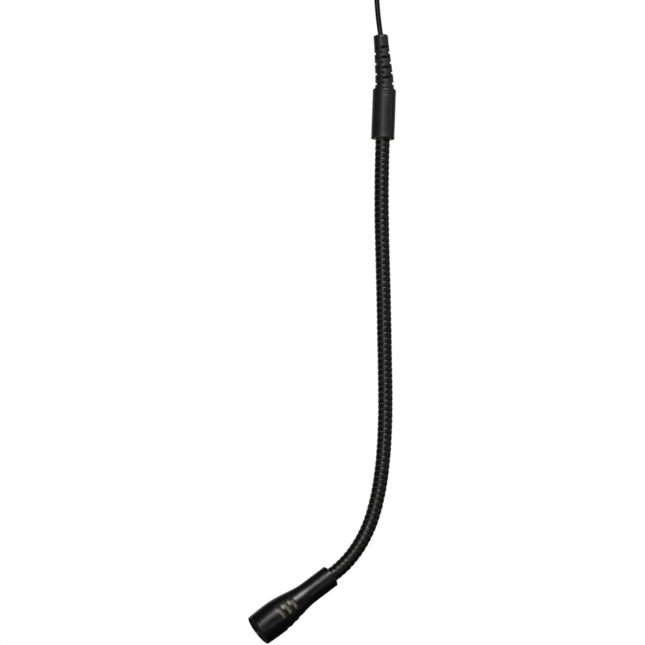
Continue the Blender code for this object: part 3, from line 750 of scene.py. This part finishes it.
collar_place = Matrix.Translation(collar_top) @ Matrix.Rotation(collar_heading, 4, "Y")
collar_tube = turned("collar_tube", divided(collar_outline(), 2.0 * MM), sides=128)
put(collar_tube, collar_place, "base", "collar_black", "collar_sleeve")

# %% [markdown]
# ## The gooseneck
#
# A gooseneck is two springs wound into each other: a stout rounded wire, and a thin three-sided wire
# pressed into the groove between its turns. Friction between them holds any bend. A ribbed tube would be
# quicker, but its rings would be level, and the turns of a real spring slope round it.
#
# The springs are swept here in fourteen stretches. The first rides on the collar and the last on the head.
# Each of the others reaches from the middle of one link to the middle of the next, across one hinge.

# %% Spring helpers
TURN_STEPS = 30
HIDDEN_TURNS = 2
WIRE_HALF_WIDTH = 1.16 * MM
WIRE_INNER_RADIUS = 1.75 * MM
SHOULDER_DROP = 0.27 * MM
CREST_POINTS = 12
FILLER_RADIUS = 3.12 * MM
UNEVEN = random.Random(11)
turn_lift = [UNEVEN.uniform(-1, 1) * 0.022 * MM for _ in range(int(neck_turns) + 2 * HIDDEN_TURNS + 3)]
turn_slip = [UNEVEN.uniform(-1, 1) * 0.045 * MM for _ in range(int(neck_turns) + 2 * HIDDEN_TURNS + 3)]


def eased(values, at):
    """A value between two neighbours in a list, eased so that it has no corners."""
    number = int(at)
    share = at - number
    share = share * share * (3 - 2 * share)
    return values[number] * (1 - share) + values[number + 1] * share


def stout_wire_section():
    """(outwards, along) points of the stout wire, with a broad crest and rounded shoulders."""
    found = []
    for i in range(CREST_POINTS + 1):
        along = 1 - 2 * i / CREST_POINTS
        drop = SHOULDER_DROP * abs(along) ** 5
        found.append((neck_radius - drop, WIRE_HALF_WIDTH * along))
    return [*found, (WIRE_INNER_RADIUS, -0.6 * WIRE_HALF_WIDTH), (WIRE_INNER_RADIUS, 0.6 * WIRE_HALF_WIDTH)]


def filler_section():
    """The three-sided wire, with a slightly crowned outer face, half a pitch along from the stout one."""
    half = neck_pitch / 2
    rim = (0.40, 0.30, 0.12, -0.12, -0.30, -0.40)
    face = [(FILLER_RADIUS - 0.5 * (w / 0.4) ** 4 * 0.2 * MM, half - w * MM) for w in rim]
    return [*face, (2.05 * MM, half + 0.05 * MM), (2.05 * MM, half - 0.05 * MM)][::-1]


def wound(name, section, first, last):
    """One wire of the spring between two distances along the gooseneck."""
    count = max(2, round((last - first) / neck_pitch * TURN_STEPS))
    sides = len(section)
    verts, faces = [], []
    for step in range(count + 1):
        distance = first + (last - first) * step / count
        turn = distance / neck_pitch
        angle = math.tau * turn - math.pi / 2
        lift = eased(turn_lift, turn + HIDDEN_TURNS + 0.5)
        slip = eased(turn_slip, turn + HIDDEN_TURNS + 0.5)
        for out, along in section:
            place = neck_line.place(distance + along + slip)
            radius = out + lift
            verts.append(place @ Vector((radius * math.cos(angle), radius * math.sin(angle), 0.0)))
        if step:
            faces += band((step - 1) * sides, step * sides, sides)
    return smooth(new_mesh(name, verts, faces), angle=50.0)


# %% The two springs
hinge_distances = [arc[0] for arc in neck_line.arcs[: len(hinges) + 1]]
link_bodies = ["base", *(hinge["child"] for hinge in hinges)]
link_middles = [(a + b) / 2 for a, b in zip(hinge_distances, [*hinge_distances[1:], neck_line.length])]
spring_cuts = [-HIDDEN_TURNS * neck_pitch, *link_middles, neck_line.length + HIDDEN_TURNS * neck_pitch]
last_stretch = len(spring_cuts) - 2
for number, (first, last) in enumerate(zip(spring_cuts, spring_cuts[1:])):
    for wire, section in (("spring_wire", stout_wire_section()), ("filler_wire", filler_section())):
        stretch = wound(f"{wire}_{number:02d}", section, first, last)
        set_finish(stretch, "neck_steel")
        if number in (0, last_stretch):
            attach(stretch, link_bodies[0 if number == 0 else -1])
        else:
            ends = neck_line.point(first), neck_line.point(last)
            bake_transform(stretch)
        if wire == "spring_wire" and number < last_stretch:
            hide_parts(f"neck_coil_{number:02d}")
print(f"springs: {2 * (last_stretch + 1)} stretches, {neck_turns + 2 * HIDDEN_TURNS:.1f} turns")

# %% [markdown]
# ## The head's shell
#
# The head is turned from aluminium: a barrel round the capsule, a flare, and a slim tail over the end of
# the gooseneck. Three columns of three slots let sound in from behind, two on the flanks and one
# underneath. The shell is the same windowed grid as the rubber, with harder and finer bevels, because
# machined metal has crisp edges.

# %% Head shell
head_place = Matrix.Translation(head_rear) @ Matrix.Rotation(head_heading, 4, "Y")
FRONT_RADIUS = 7.24 * MM
BULGE = 0.26 * MM
BULGE_AT = 8.7 * MM
TAIL_RADIUS = 5.075 * MM
TAIL_AT = 29.3 * MM
RING_LENGTH = 1.6 * MM
SEAM = 0.03 * MM
SHELL_WALL = 0.9 * MM
CAPSULE_BORE = 6.3 * MM
FLARE_POWER = 1.12
REAR_ROUND = 0.5 * MM
REAR_WALL = 0.9 * MM
NECK_HOLE_RADIUS = 3.6 * MM
SLOT_MIDDLES = (11.95 * MM, 15.55 * MM, 19.15 * MM)
SLOT_WIDTH = 2.0 * MM
SLOT_ARC = math.radians(50.0)
SLOT_COLUMNS = (math.radians(-102.0), 0.0, math.radians(102.0))


def head_radius(front):
    """The outer radius at a distance from the front face."""
    if front <= BULGE_AT:
        return FRONT_RADIUS + BULGE * math.sin(front / BULGE_AT * math.pi / 2)
    if front >= TAIL_AT:
        return TAIL_RADIUS
    fall = (1 - math.cos((front - BULGE_AT) / (TAIL_AT - BULGE_AT) * math.pi)) / 2
    return FRONT_RADIUS + BULGE + (TAIL_RADIUS - FRONT_RADIUS - BULGE) * fall**FLARE_POWER


def shell_outer(depth):
    return head_radius(head_length - depth) - rounded_off(depth, REAR_ROUND)


def shell_inner(depth):
    if depth < REAR_WALL:
        return NECK_HOLE_RADIUS
    return min(head_radius(head_length - depth) - SHELL_WALL, CAPSULE_BORE)


def head_slot_open(depth, angle):
    front = head_length - depth
    if not any(abs(front - middle) < SLOT_WIDTH / 2 for middle in SLOT_MIDDLES):
        return False
    return any(abs((angle - c + math.pi) % math.tau - math.pi) < SLOT_ARC / 2 for c in SLOT_COLUMNS)


def head_grid():
    round_over = rounded_depths(REAR_ROUND)
    stops = [REAR_ROUND, REAR_WALL - 0.02 * MM, REAR_WALL]
    for middle in reversed(SLOT_MIDDLES):
        stops += [head_length - middle - SLOT_WIDTH / 2, head_length - middle + SLOT_WIDTH / 2]
    stops.append(head_length - RING_LENGTH - SEAM)
    depths = round_over[:-1] + steps_between(stops, 0.6 * MM)
    edges = sorted((c + s * SLOT_ARC / 2) % math.tau for c in SLOT_COLUMNS for s in (-1, 1))
    angles = steps_between([*edges, edges[0] + math.tau], math.radians(3.0))[:-1]
    return depths, angles


head_shell = windowed_shell(*head_grid(), shell_outer, shell_inner, head_slot_open)
turned_head = round_edges(new_mesh("turned_head", *head_shell), 0.10 * MM)
put(turned_head, head_place, "head", "head_black", "head_shell")

# %% [markdown]
# ## The front ring
#
# A separate ring is pressed into the barrel and holds the grille. A hairline seam is left between the two,
# which is how a real joint shows, and the ring's lip is rounded so that it catches a thin line of light.

# %% Front ring
LIP_RADIUS = 0.45 * MM
RING_BORE = 5.75 * MM


def ring_outline():
    face = head_length
    outline = [(head_radius(RING_LENGTH) - 0.03 * MM, face - RING_LENGTH)]
    outline += [(head_radius(RING_LENGTH), face - RING_LENGTH + 0.03 * MM)]
    for shrink, rise in quarter(LIP_RADIUS, 8):
        outline.append((FRONT_RADIUS - shrink, face - LIP_RADIUS + rise))
    outline += [(RING_BORE + 0.45 * MM, face), (RING_BORE + 0.12 * MM, face - 0.10 * MM)]
    outline += [(RING_BORE, face - 0.35 * MM), (RING_BORE, face - RING_LENGTH)]
    return outline


ring_lip = turned("ring_lip", ring_outline(), sides=144)
put(ring_lip, head_place, "head", "head_black", "front_ring")

# %% [markdown]
# ## Woven screens
#
# The front grille and the screen behind the slots are woven from fine wire. A bump pattern could stand in
# for them, but light passes between real wires and each one shades the next. Every wire is swept along a
# wave that goes over one crossing and under the next. A thin skin of the screen's own colour closes the
# view into the head.

# %% Wire sweeping


def sweep_wires(name, paths, radius, sides=5):
    """One mesh from many thin wires, each a list of (point, outwards) pairs."""
    verts, faces = [], []
    for path in paths:
        base = len(verts)
        for i, (point, outwards) in enumerate(path):
            before, after = path[max(i - 1, 0)][0], path[min(i + 1, len(path) - 1)][0]
            along = (after - before).normalized()
            across = along.cross(outwards).normalized()
            lift = across.cross(along)
            for j in range(sides):
                angle = math.tau * j / sides
                verts.append(point + radius * (math.cos(angle) * across + math.sin(angle) * lift))
        for i in range(len(path) - 1):
            faces += band(base + i * sides, base + (i + 1) * sides, sides)
    return smooth(new_mesh(name, verts, faces), angle=80.0)


# %% Front grille
GRILLE_PITCH = 0.46 * MM
GRILLE_WIRE = 0.095 * MM
GRILLE_RADIUS = 5.72 * MM
GRILLE_RECESS = 0.75 * MM


def grille_paths():
    face = -(head_length - GRILLE_RECESS)
    count = int(GRILLE_RADIUS / GRILLE_PITCH)
    out = Vector((0.0, 0.0, -1.0))
    paths = []
    for way in (0, 1):
        for k in range(-count, count + 1):
            fixed = k * GRILLE_PITCH
            half = math.sqrt(max(GRILLE_RADIUS**2 - fixed**2, 0.0))
            steps = max(4, round(2 * half / GRILLE_PITCH * 4))
            path = []
            for i in range(steps + 1):
                run = -half + 2 * half * i / steps
                wave = math.cos(math.pi * run / GRILLE_PITCH) * (-1) ** (k + way)
                x, y = (run, fixed) if way == 0 else (fixed, run)
                path.append((Vector((x, y, face + wave * GRILLE_WIRE)), out))
            paths.append(path)
    return paths


grille_weave = sweep_wires("grille_weave", grille_paths(), GRILLE_WIRE)
put(grille_weave, head_place, "head", "dark_screen", "front_grille")

# %% Screen behind the slots
SCREEN_ENDS = (10.2 * MM, 20.9 * MM)
SCREEN_WIRE = 0.10 * MM
SCREEN_AROUND = 66
SCREEN_ROWS = 20
SCREEN_INSET = 0.22 * MM
SKIN_INSET = 0.28 * MM
SKIN_ROWS = 12


def screen_spot(front, angle, lift):
    radius = shell_inner(head_length - front) - SCREEN_INSET + lift
    out = Vector((math.cos(angle), math.sin(angle), 0.0))
    return out * radius + Vector((0.0, 0.0, -(head_length - front))), out


def screen_paths():
    near, far = SCREEN_ENDS
    paths = []
    for k in range(SCREEN_AROUND):
        angle = math.tau * k / SCREEN_AROUND
        steps = SCREEN_ROWS * 4
        path = []
        for i in range(steps + 1):
            wave = math.cos(math.pi * i / 4) * (-1) ** k
            path.append(screen_spot(near + (far - near) * i / steps, angle, wave * SCREEN_WIRE))
        paths.append(path)
    for row in range(SCREEN_ROWS + 1):
        front = near + (far - near) * row / SCREEN_ROWS
        steps = SCREEN_AROUND * 4
        path = []
        for i in range(steps + 1):
            wave = -math.cos(math.pi * i / 4) * (-1) ** row
            path.append(screen_spot(front, math.tau * i / steps, wave * SCREEN_WIRE))
        paths.append(path)
    return paths


screen_weave = sweep_wires("screen_weave", screen_paths(), SCREEN_WIRE, sides=4)
put(screen_weave, head_place, "head", "olive_screen", "slot_screen")
skin_step = (SCREEN_ENDS[1] - SCREEN_ENDS[0]) / SKIN_ROWS
skin_rows = [SCREEN_ENDS[0] + skin_step * i for i in range(SKIN_ROWS + 1)]
skin_outline = [(screen_spot(front, 0.0, -SKIN_INSET)[0].x, head_length - front) for front in skin_rows]
screen_skin = turned("screen_skin", skin_outline, sides=96, closed=False)
put(screen_skin, head_place, "head", "olive_screen")

# %% [markdown]
# ## Shared surface effects
#
# No real surface has one even colour and gloss. Moulded and painted pieces share a few effects: a fine
# grain, patches where hands have polished them, dust that settles on what faces up, rubbed edges and the
# rings that a lathe leaves. Each effect is a node group, built once and given other values in each finish.

# %% Node helpers


def new_group(name, inputs, outputs):
    """A shader group with float inputs of (name, value), and its two end nodes."""
    group = bpy.data.node_groups.new(name, "ShaderNodeTree")
    for label, value in inputs:
        socket = group.interface.new_socket(name=label, in_out="INPUT", socket_type="NodeSocketFloat")
        socket.default_value = value
    for label in outputs:
        group.interface.new_socket(name=label, in_out="OUTPUT", socket_type="NodeSocketFloat")
    return group, group.nodes.new("NodeGroupInput"), group.nodes.new("NodeGroupOutput")


def node(tree, kind, inputs=None, **settings):
    """A node with its settings and input values. A value that is a socket gets a link instead."""
    made = tree.nodes.new(kind)
    for key, value in settings.items():
        setattr(made, key, value)
    for key, value in (inputs or {}).items():
        if isinstance(value, bpy.types.NodeSocket):
            tree.links.new(value, made.inputs[key])
        else:
            made.inputs[key].default_value = value
    return made


def maths(tree, operation, *values):
    return node(tree, "ShaderNodeMath", dict(enumerate(values)), operation=operation).outputs[0]


def spread_over(tree, value, low, high, to_low=0.0, to_high=1.0):
    """Maps low..high onto to_low..to_high, kept between them."""
    inputs = {"Value": value, "From Min": low, "From Max": high, "To Min": to_low, "To Max": to_high}
    return node(tree, "ShaderNodeMapRange", inputs, interpolation_type="SMOOTHSTEP").outputs["Result"]


def noise(tree, scale, detail=2.0, roughness=0.5):
    place = tree.nodes.new("ShaderNodeTexCoord").outputs["Object"]
    inputs = {"Vector": place, "Scale": scale, "Detail": detail, "Roughness": roughness}
    return node(tree, "ShaderNodeTexNoise", inputs).outputs["Fac"]


# %% Fine grain


def make_fine_grain():
    """Height of a moulded or powder-coated grain, and a tone that varies with it."""
    tree, given, out = new_group("fine_grain", [("Scale", 4000.0)], ["Height", "Tone"])
    fine = noise(tree, given.outputs["Scale"], detail=3.0, roughness=0.6)
    coarse = noise(tree, maths(tree, "MULTIPLY", given.outputs["Scale"], 0.27), detail=1.0)
    height = maths(tree, "ADD", maths(tree, "MULTIPLY", fine, 0.7), maths(tree, "MULTIPLY", coarse, 0.3))
    tree.links.new(height, out.inputs["Height"])
    tree.links.new(spread_over(tree, height, 0.35, 0.65), out.inputs["Tone"])
    return tree


# %% Handled patches


def make_handled_patches():
    """Roughness between a matt and a rubbed value, in soft patches."""
    inputs = [("Scale", 160.0), ("Matt", 0.55), ("Rubbed", 0.4)]
    tree, given, out = new_group("handled_patches", inputs, ["Roughness", "Patch"])
    patch = spread_over(tree, noise(tree, given.outputs["Scale"], detail=4.0), 0.36, 0.66)
    gap = maths(tree, "SUBTRACT", given.outputs["Rubbed"], given.outputs["Matt"])
    rough = maths(tree, "MULTIPLY_ADD", patch, gap, given.outputs["Matt"])
    tree.links.new(rough, out.inputs["Roughness"])
    tree.links.new(patch, out.inputs["Patch"])
    return tree


# %% Settled dust


def make_settled_dust():
    """A mask of fine specks, thicker where the surface faces up."""
    tree, given, out = new_group("settled_dust", [("Amount", 0.3), ("Scale", 3000.0)], ["Mask"])
    normal = tree.nodes.new("ShaderNodeNewGeometry").outputs["Normal"]
    facing = node(tree, "ShaderNodeSeparateXYZ", {"Vector": normal}).outputs["Z"]
    upward = spread_over(tree, facing, -0.2, 1.0, 0.12, 1.0)
    specks = spread_over(tree, noise(tree, given.outputs["Scale"], detail=2.0, roughness=0.7), 0.5, 0.72)
    mask = maths(tree, "MULTIPLY", maths(tree, "MULTIPLY", upward, specks), given.outputs["Amount"])
    tree.links.new(mask, out.inputs["Mask"])
    return tree


# %% Rubbed edges


def make_rubbed_edges():
    """A mask on outer edges, broken up by noise."""
    tree, given, out = new_group("rubbed_edges", [("Amount", 0.5), ("Scale", 900.0)], ["Mask"])
    edge = spread_over(tree, tree.nodes.new("ShaderNodeNewGeometry").outputs["Pointiness"], 0.53, 0.62)
    broken = spread_over(tree, noise(tree, given.outputs["Scale"], detail=3.0), 0.38, 0.62)
    mask = maths(tree, "MULTIPLY", maths(tree, "MULTIPLY", edge, broken), given.outputs["Amount"])
    tree.links.new(mask, out.inputs["Mask"])
    return tree


# %% Lathe rings


def make_lathe_rings():
    """Height of fine rings along a piece's own axis."""
    tree, given, out = new_group("lathe_rings", [("Rings per metre", 6000.0)], ["Height"])
    place = tree.nodes.new("ShaderNodeTexCoord").outputs["Object"]
    along = node(tree, "ShaderNodeSeparateXYZ", {"Vector": place}).outputs["Z"]
    line = maths(tree, "MULTIPLY", along, given.outputs["Rings per metre"])
    uneven = node(tree, "ShaderNodeTexNoise", {"W": line, "Scale": 1.0, "Detail": 2.0}, noise_dimensions="1D")
    tree.links.new(uneven.outputs["Fac"], out.inputs["Height"])
    return tree


FINE_GRAIN = make_fine_grain()
HANDLED_PATCHES = make_handled_patches()
SETTLED_DUST = make_settled_dust()
RUBBED_EDGES = make_rubbed_edges()
LATHE_RINGS = make_lathe_rings()
print("effects:", [group.name for group in bpy.data.node_groups])

# %% [markdown]
# ## A finish from the effects
#
# One recipe serves all the finishes: two close tones mixed by the grain, a worn tone on the edges, dust on
# top, and a bump from the grain and the lathe. Values that are the same all over, such as metal or sheen,
# sit on the shader itself.

# %% Finish recipe
DUST = (0.36, 0.35, 0.33)
finishes = {}


def placed(tree, group, **inputs):
    made = node(tree, "ShaderNodeGroup", node_tree=group)
    for key, value in inputs.items():
        made.inputs[key.replace("_", " ")].default_value = value
    return made.outputs


def mixed(tree, factor, first, second):
    """The second colour over the first by a mask."""
    first, second = ((*tone, 1.0) if isinstance(tone, tuple) else tone for tone in (first, second))
    return node(tree, "ShaderNodeMix", {0: factor, 6: first, 7: second}, data_type="RGBA").outputs[2]


def new_finish(name, deep, light, matt, rubbed, grain=4000.0, grain_depth=0.02, patch=160.0, dust=0.0,
               edge=None, wear=0.0, rings=0.0, ring_depth=0.0, metal=0.0, coat=0.0, sheen=0.0):
    """A finish between a deep and a light tone. Depths are in millimetres."""
    material = bpy.data.materials.new(name)
    material.use_nodes = True
    tree = material.node_tree
    shader = tree.nodes["Principled BSDF"]
    shader.inputs["Metallic"].default_value = metal
    shader.inputs["Coat Weight"].default_value = coat
    shader.inputs["Sheen Weight"].default_value = sheen
    grained = placed(tree, FINE_GRAIN, Scale=grain)
    handled = placed(tree, HANDLED_PATCHES, Scale=patch, Matt=matt, Rubbed=rubbed)
    colour = mixed(tree, grained["Tone"], deep, light)
    if edge:
        colour = mixed(tree, placed(tree, RUBBED_EDGES, Amount=wear)["Mask"], colour, edge)
    if dust:
        colour = mixed(tree, placed(tree, SETTLED_DUST, Amount=dust)["Mask"], colour, DUST)
    tree.links.new(colour, shader.inputs["Base Color"])
    tree.links.new(handled["Roughness"], shader.inputs["Roughness"])
    inputs = {"Height": grained["Height"], "Distance": grain_depth * MM, "Strength": 1.0}
    normal = node(tree, "ShaderNodeBump", inputs).outputs["Normal"]
    if rings:
        ringed = placed(tree, LATHE_RINGS, Rings_per_metre=rings)
        inputs |= {"Height": ringed["Height"], "Distance": ring_depth * MM, "Normal": normal}
        normal = node(tree, "ShaderNodeBump", inputs).outputs["Normal"]
    tree.links.new(normal, shader.inputs["Normal"])
    finishes[name] = material

# %% [markdown]
# ## Blacks
#
# Nearly the whole object is black, and what tells the pieces apart is gloss. The cord's jacket is smooth
# and shiny, the rubber has a faint moulded bloom, the collar is a dry charcoal, the spring is blackened and
# lightly oiled, and the head has a smooth satin coat over turned aluminium.

# %% Black finishes
new_finish(
    "cord_jacket", (0.002, 0.002, 0.002), (0.004, 0.004, 0.004), 0.24, 0.18, grain=6000.0, grain_depth=0.00001
)
new_finish(
    "boot_rubber", (0.007, 0.007, 0.007), (0.013, 0.013, 0.013), 0.42, 0.34, grain=5200.0, grain_depth=0.001,
    dust=0.01, edge=(0.040, 0.041, 0.042), wear=0.4, sheen=0.04
)
new_finish(
    "collar_black", (0.005, 0.005, 0.006), (0.009, 0.009, 0.010), 0.46, 0.38, grain=6500.0,
    grain_depth=0.0008, edge=(0.05, 0.051, 0.053), wear=0.4, rings=5200.0, ring_depth=0.001
)
new_finish(
    "neck_steel", (0.001, 0.001, 0.001), (0.004, 0.004, 0.003), 0.36, 0.30, grain=2400.0, grain_depth=0.0006,
    patch=420.0
)
new_finish(
    "head_black", (0.002, 0.002, 0.0025), (0.005, 0.005, 0.006), 0.33, 0.27, grain=7000.0, grain_depth=0.0003,
    rings=7000.0, ring_depth=0.0001
)
new_finish(
    "grip_nylon", (0.016, 0.016, 0.016), (0.032, 0.032, 0.033), 0.58, 0.42, grain=4200.0, grain_depth=0.015,
    dust=0.12, edge=(0.08, 0.08, 0.08), wear=0.4
)

# %% [markdown]
# ## Metals, enamel and inner parts
#
# The woven screens, the brass ferrules, the capsule's bright can and the board are mostly hidden, but they
# are seen whenever the head is opened up. The ceiling plate is enamelled off-white to match a ceiling.

# %% Metals and enamel
new_finish(
    "dark_screen", (0.006, 0.006, 0.007), (0.018, 0.018, 0.019), 0.6, 0.5, grain=3000.0, metal=0.6
)
new_finish(
    "olive_screen", (0.24, 0.23, 0.15), (0.50, 0.48, 0.35), 0.5, 0.36, grain=1500.0, grain_depth=0.01,
    patch=700.0, metal=0.35
)
new_finish(
    "plate_enamel", (0.58, 0.58, 0.56), (0.65, 0.65, 0.63), 0.42, 0.30, grain=1200.0, grain_depth=0.015,
    edge=(0.42, 0.41, 0.40), wear=0.35, coat=0.2
)
new_finish(
    "zinc_steel", (0.44, 0.45, 0.47), (0.60, 0.61, 0.62), 0.42, 0.28, grain=2200.0, patch=900.0, metal=1.0
)
new_finish(
    "brass", (0.60, 0.42, 0.17), (0.76, 0.58, 0.28), 0.38, 0.24, grain=1500.0, metal=1.0, rings=9000.0,
    ring_depth=0.003
)
new_finish(
    "bright_aluminium", (0.68, 0.68, 0.70), (0.80, 0.80, 0.82), 0.34, 0.22, grain=1800.0, metal=1.0,
    rings=9000.0, ring_depth=0.003
)
new_finish(
    "gold_film", (0.78, 0.60, 0.26), (0.88, 0.72, 0.36), 0.30, 0.20, grain=900.0, grain_depth=0.01, metal=1.0
)

# %% Inner plastics and cloth
new_finish(
    "lead_grey", (0.20, 0.20, 0.21), (0.29, 0.29, 0.30), 0.55, 0.42, grain=2500.0, grain_depth=0.01
)
new_finish(
    "board_green", (0.02, 0.12, 0.06), (0.05, 0.22, 0.11), 0.42, 0.30, grain=700.0, grain_depth=0.01, coat=0.3
)
new_finish(
    "tantalum_yellow", (0.66, 0.44, 0.09), (0.78, 0.56, 0.16), 0.36, 0.26, grain=1600.0, grain_depth=0.006
)
new_finish(
    "black_cloth", (0.010, 0.010, 0.010), (0.040, 0.040, 0.041), 0.95, 0.85, grain=2600.0, grain_depth=0.08,
    sheen=0.5
)

# %% Give every piece its finish
slot_of = {part["node"]: part["material_slot"] for part in frame["record"]["subparts"]}
for piece in bpy.context.scene.objects:
    wanted = piece.get("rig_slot") or slot_of.get(piece.name)
    if wanted is None or piece.type not in ("MESH", "CURVE"):
        continue
    piece.data.materials.clear()
    piece.data.materials.append(finishes[wanted])
print("finishes:", len(finishes))

# %% [markdown]

# %% [markdown]
# ## The studio
#
# A white surround and a pale floor far below give the clean backdrop. The surround shows white to the lens
# but hardly lights the object, and the floor glows by itself and is kept out of reflections.
#
# Black objects are lit by what they reflect. A key box high in front draws the highlight on the sloping
# head, a narrow tall strip to the left of the lens draws the one down the neck, and weak panels fill the
# right side and the lower edges. Two rims and a wide backdrop behind brighten the outlines.

# %% Floor and surround
FLOOR_DROP = 1.2


def make_floor():
    bm = bmesh.new()
    bmesh.ops.create_grid(bm, x_segments=24, y_segments=24, size=6.0)
    mesh = bpy.data.meshes.new("studio_floor")
    bm.to_mesh(mesh)
    bm.free()
    floor = bpy.data.objects.new("studio_floor", mesh)
    bpy.context.scene.collection.objects.link(floor)
    floor.location.z = -FLOOR_DROP
    floor.visible_glossy = False
    material = bpy.data.materials.new("floor_paper")
    material.use_nodes = True
    tree = material.node_tree
    shader = tree.nodes["Principled BSDF"]
    tone = mixed(tree, placed(tree, FINE_GRAIN, Scale=60.0)["Tone"], (0.86, 0.86, 0.86), (0.90, 0.90, 0.90))
    tree.links.new(tone, shader.inputs["Base Color"])
    tree.links.new(tone, shader.inputs["Emission Color"])
    shader.inputs["Emission Strength"].default_value = 0.7
    shader.inputs["Roughness"].default_value = 0.9
    floor.visible_diffuse = False
    floor.data.materials.append(material)


def make_surround(seen, felt):
    world = bpy.data.worlds.new("surround")
    bpy.context.scene.world = world
    world.use_nodes = True
    tree = world.node_tree
    background = tree.nodes["Background"]
    background.inputs["Color"].default_value = (1.0, 1.0, 1.0, 1.0)
    seen_by_lens = tree.nodes.new("ShaderNodeLightPath").outputs["Is Camera Ray"]
    strength = maths(tree, "MULTIPLY_ADD", seen_by_lens, seen - felt, felt)
    tree.links.new(strength, background.inputs["Strength"])


make_floor()
make_surround(seen=1.0, felt=0.02)
bpy.context.scene.view_settings.view_transform = "Standard"

# %% Softboxes
LIGHT_AIM = Vector((-0.01, 0.0, -0.19))


def softbox(name, azimuth, elevation, distance, width, height, watts):
    lamp = bpy.data.lights.new(name, "AREA")
    lamp.shape = "RECTANGLE"
    lamp.size = width
    lamp.size_y = height
    lamp.energy = watts
    box = bpy.data.objects.new(name, lamp)
    look_from(box, towards(math.radians(azimuth), math.radians(elevation)), distance, LIGHT_AIM)
    box.visible_camera = False


softbox("key_box", 4, 45, 1.6, 0.85, 0.62, 20.0)
softbox("front_strip", -25, 10, 2.0, 0.24, 1.9, 10.0)
softbox("right_panel", 62, 6, 2.2, 0.6, 1.6, 2.6)
softbox("low_front_panel", 18, -12, 2.0, 0.9, 0.6, 1.0)
softbox("low_left_panel", -74, -29, 1.6, 1.9, 0.5, 9.0)
softbox("left_back_rim", -152, 6, 2.2, 0.4, 1.8, 3.0)
softbox("right_back_rim", 126, 6, 2.2, 0.4, 1.8, 2.5)
softbox("backdrop", 164, 16, 2.0, 2.4, 1.8, 9.0)
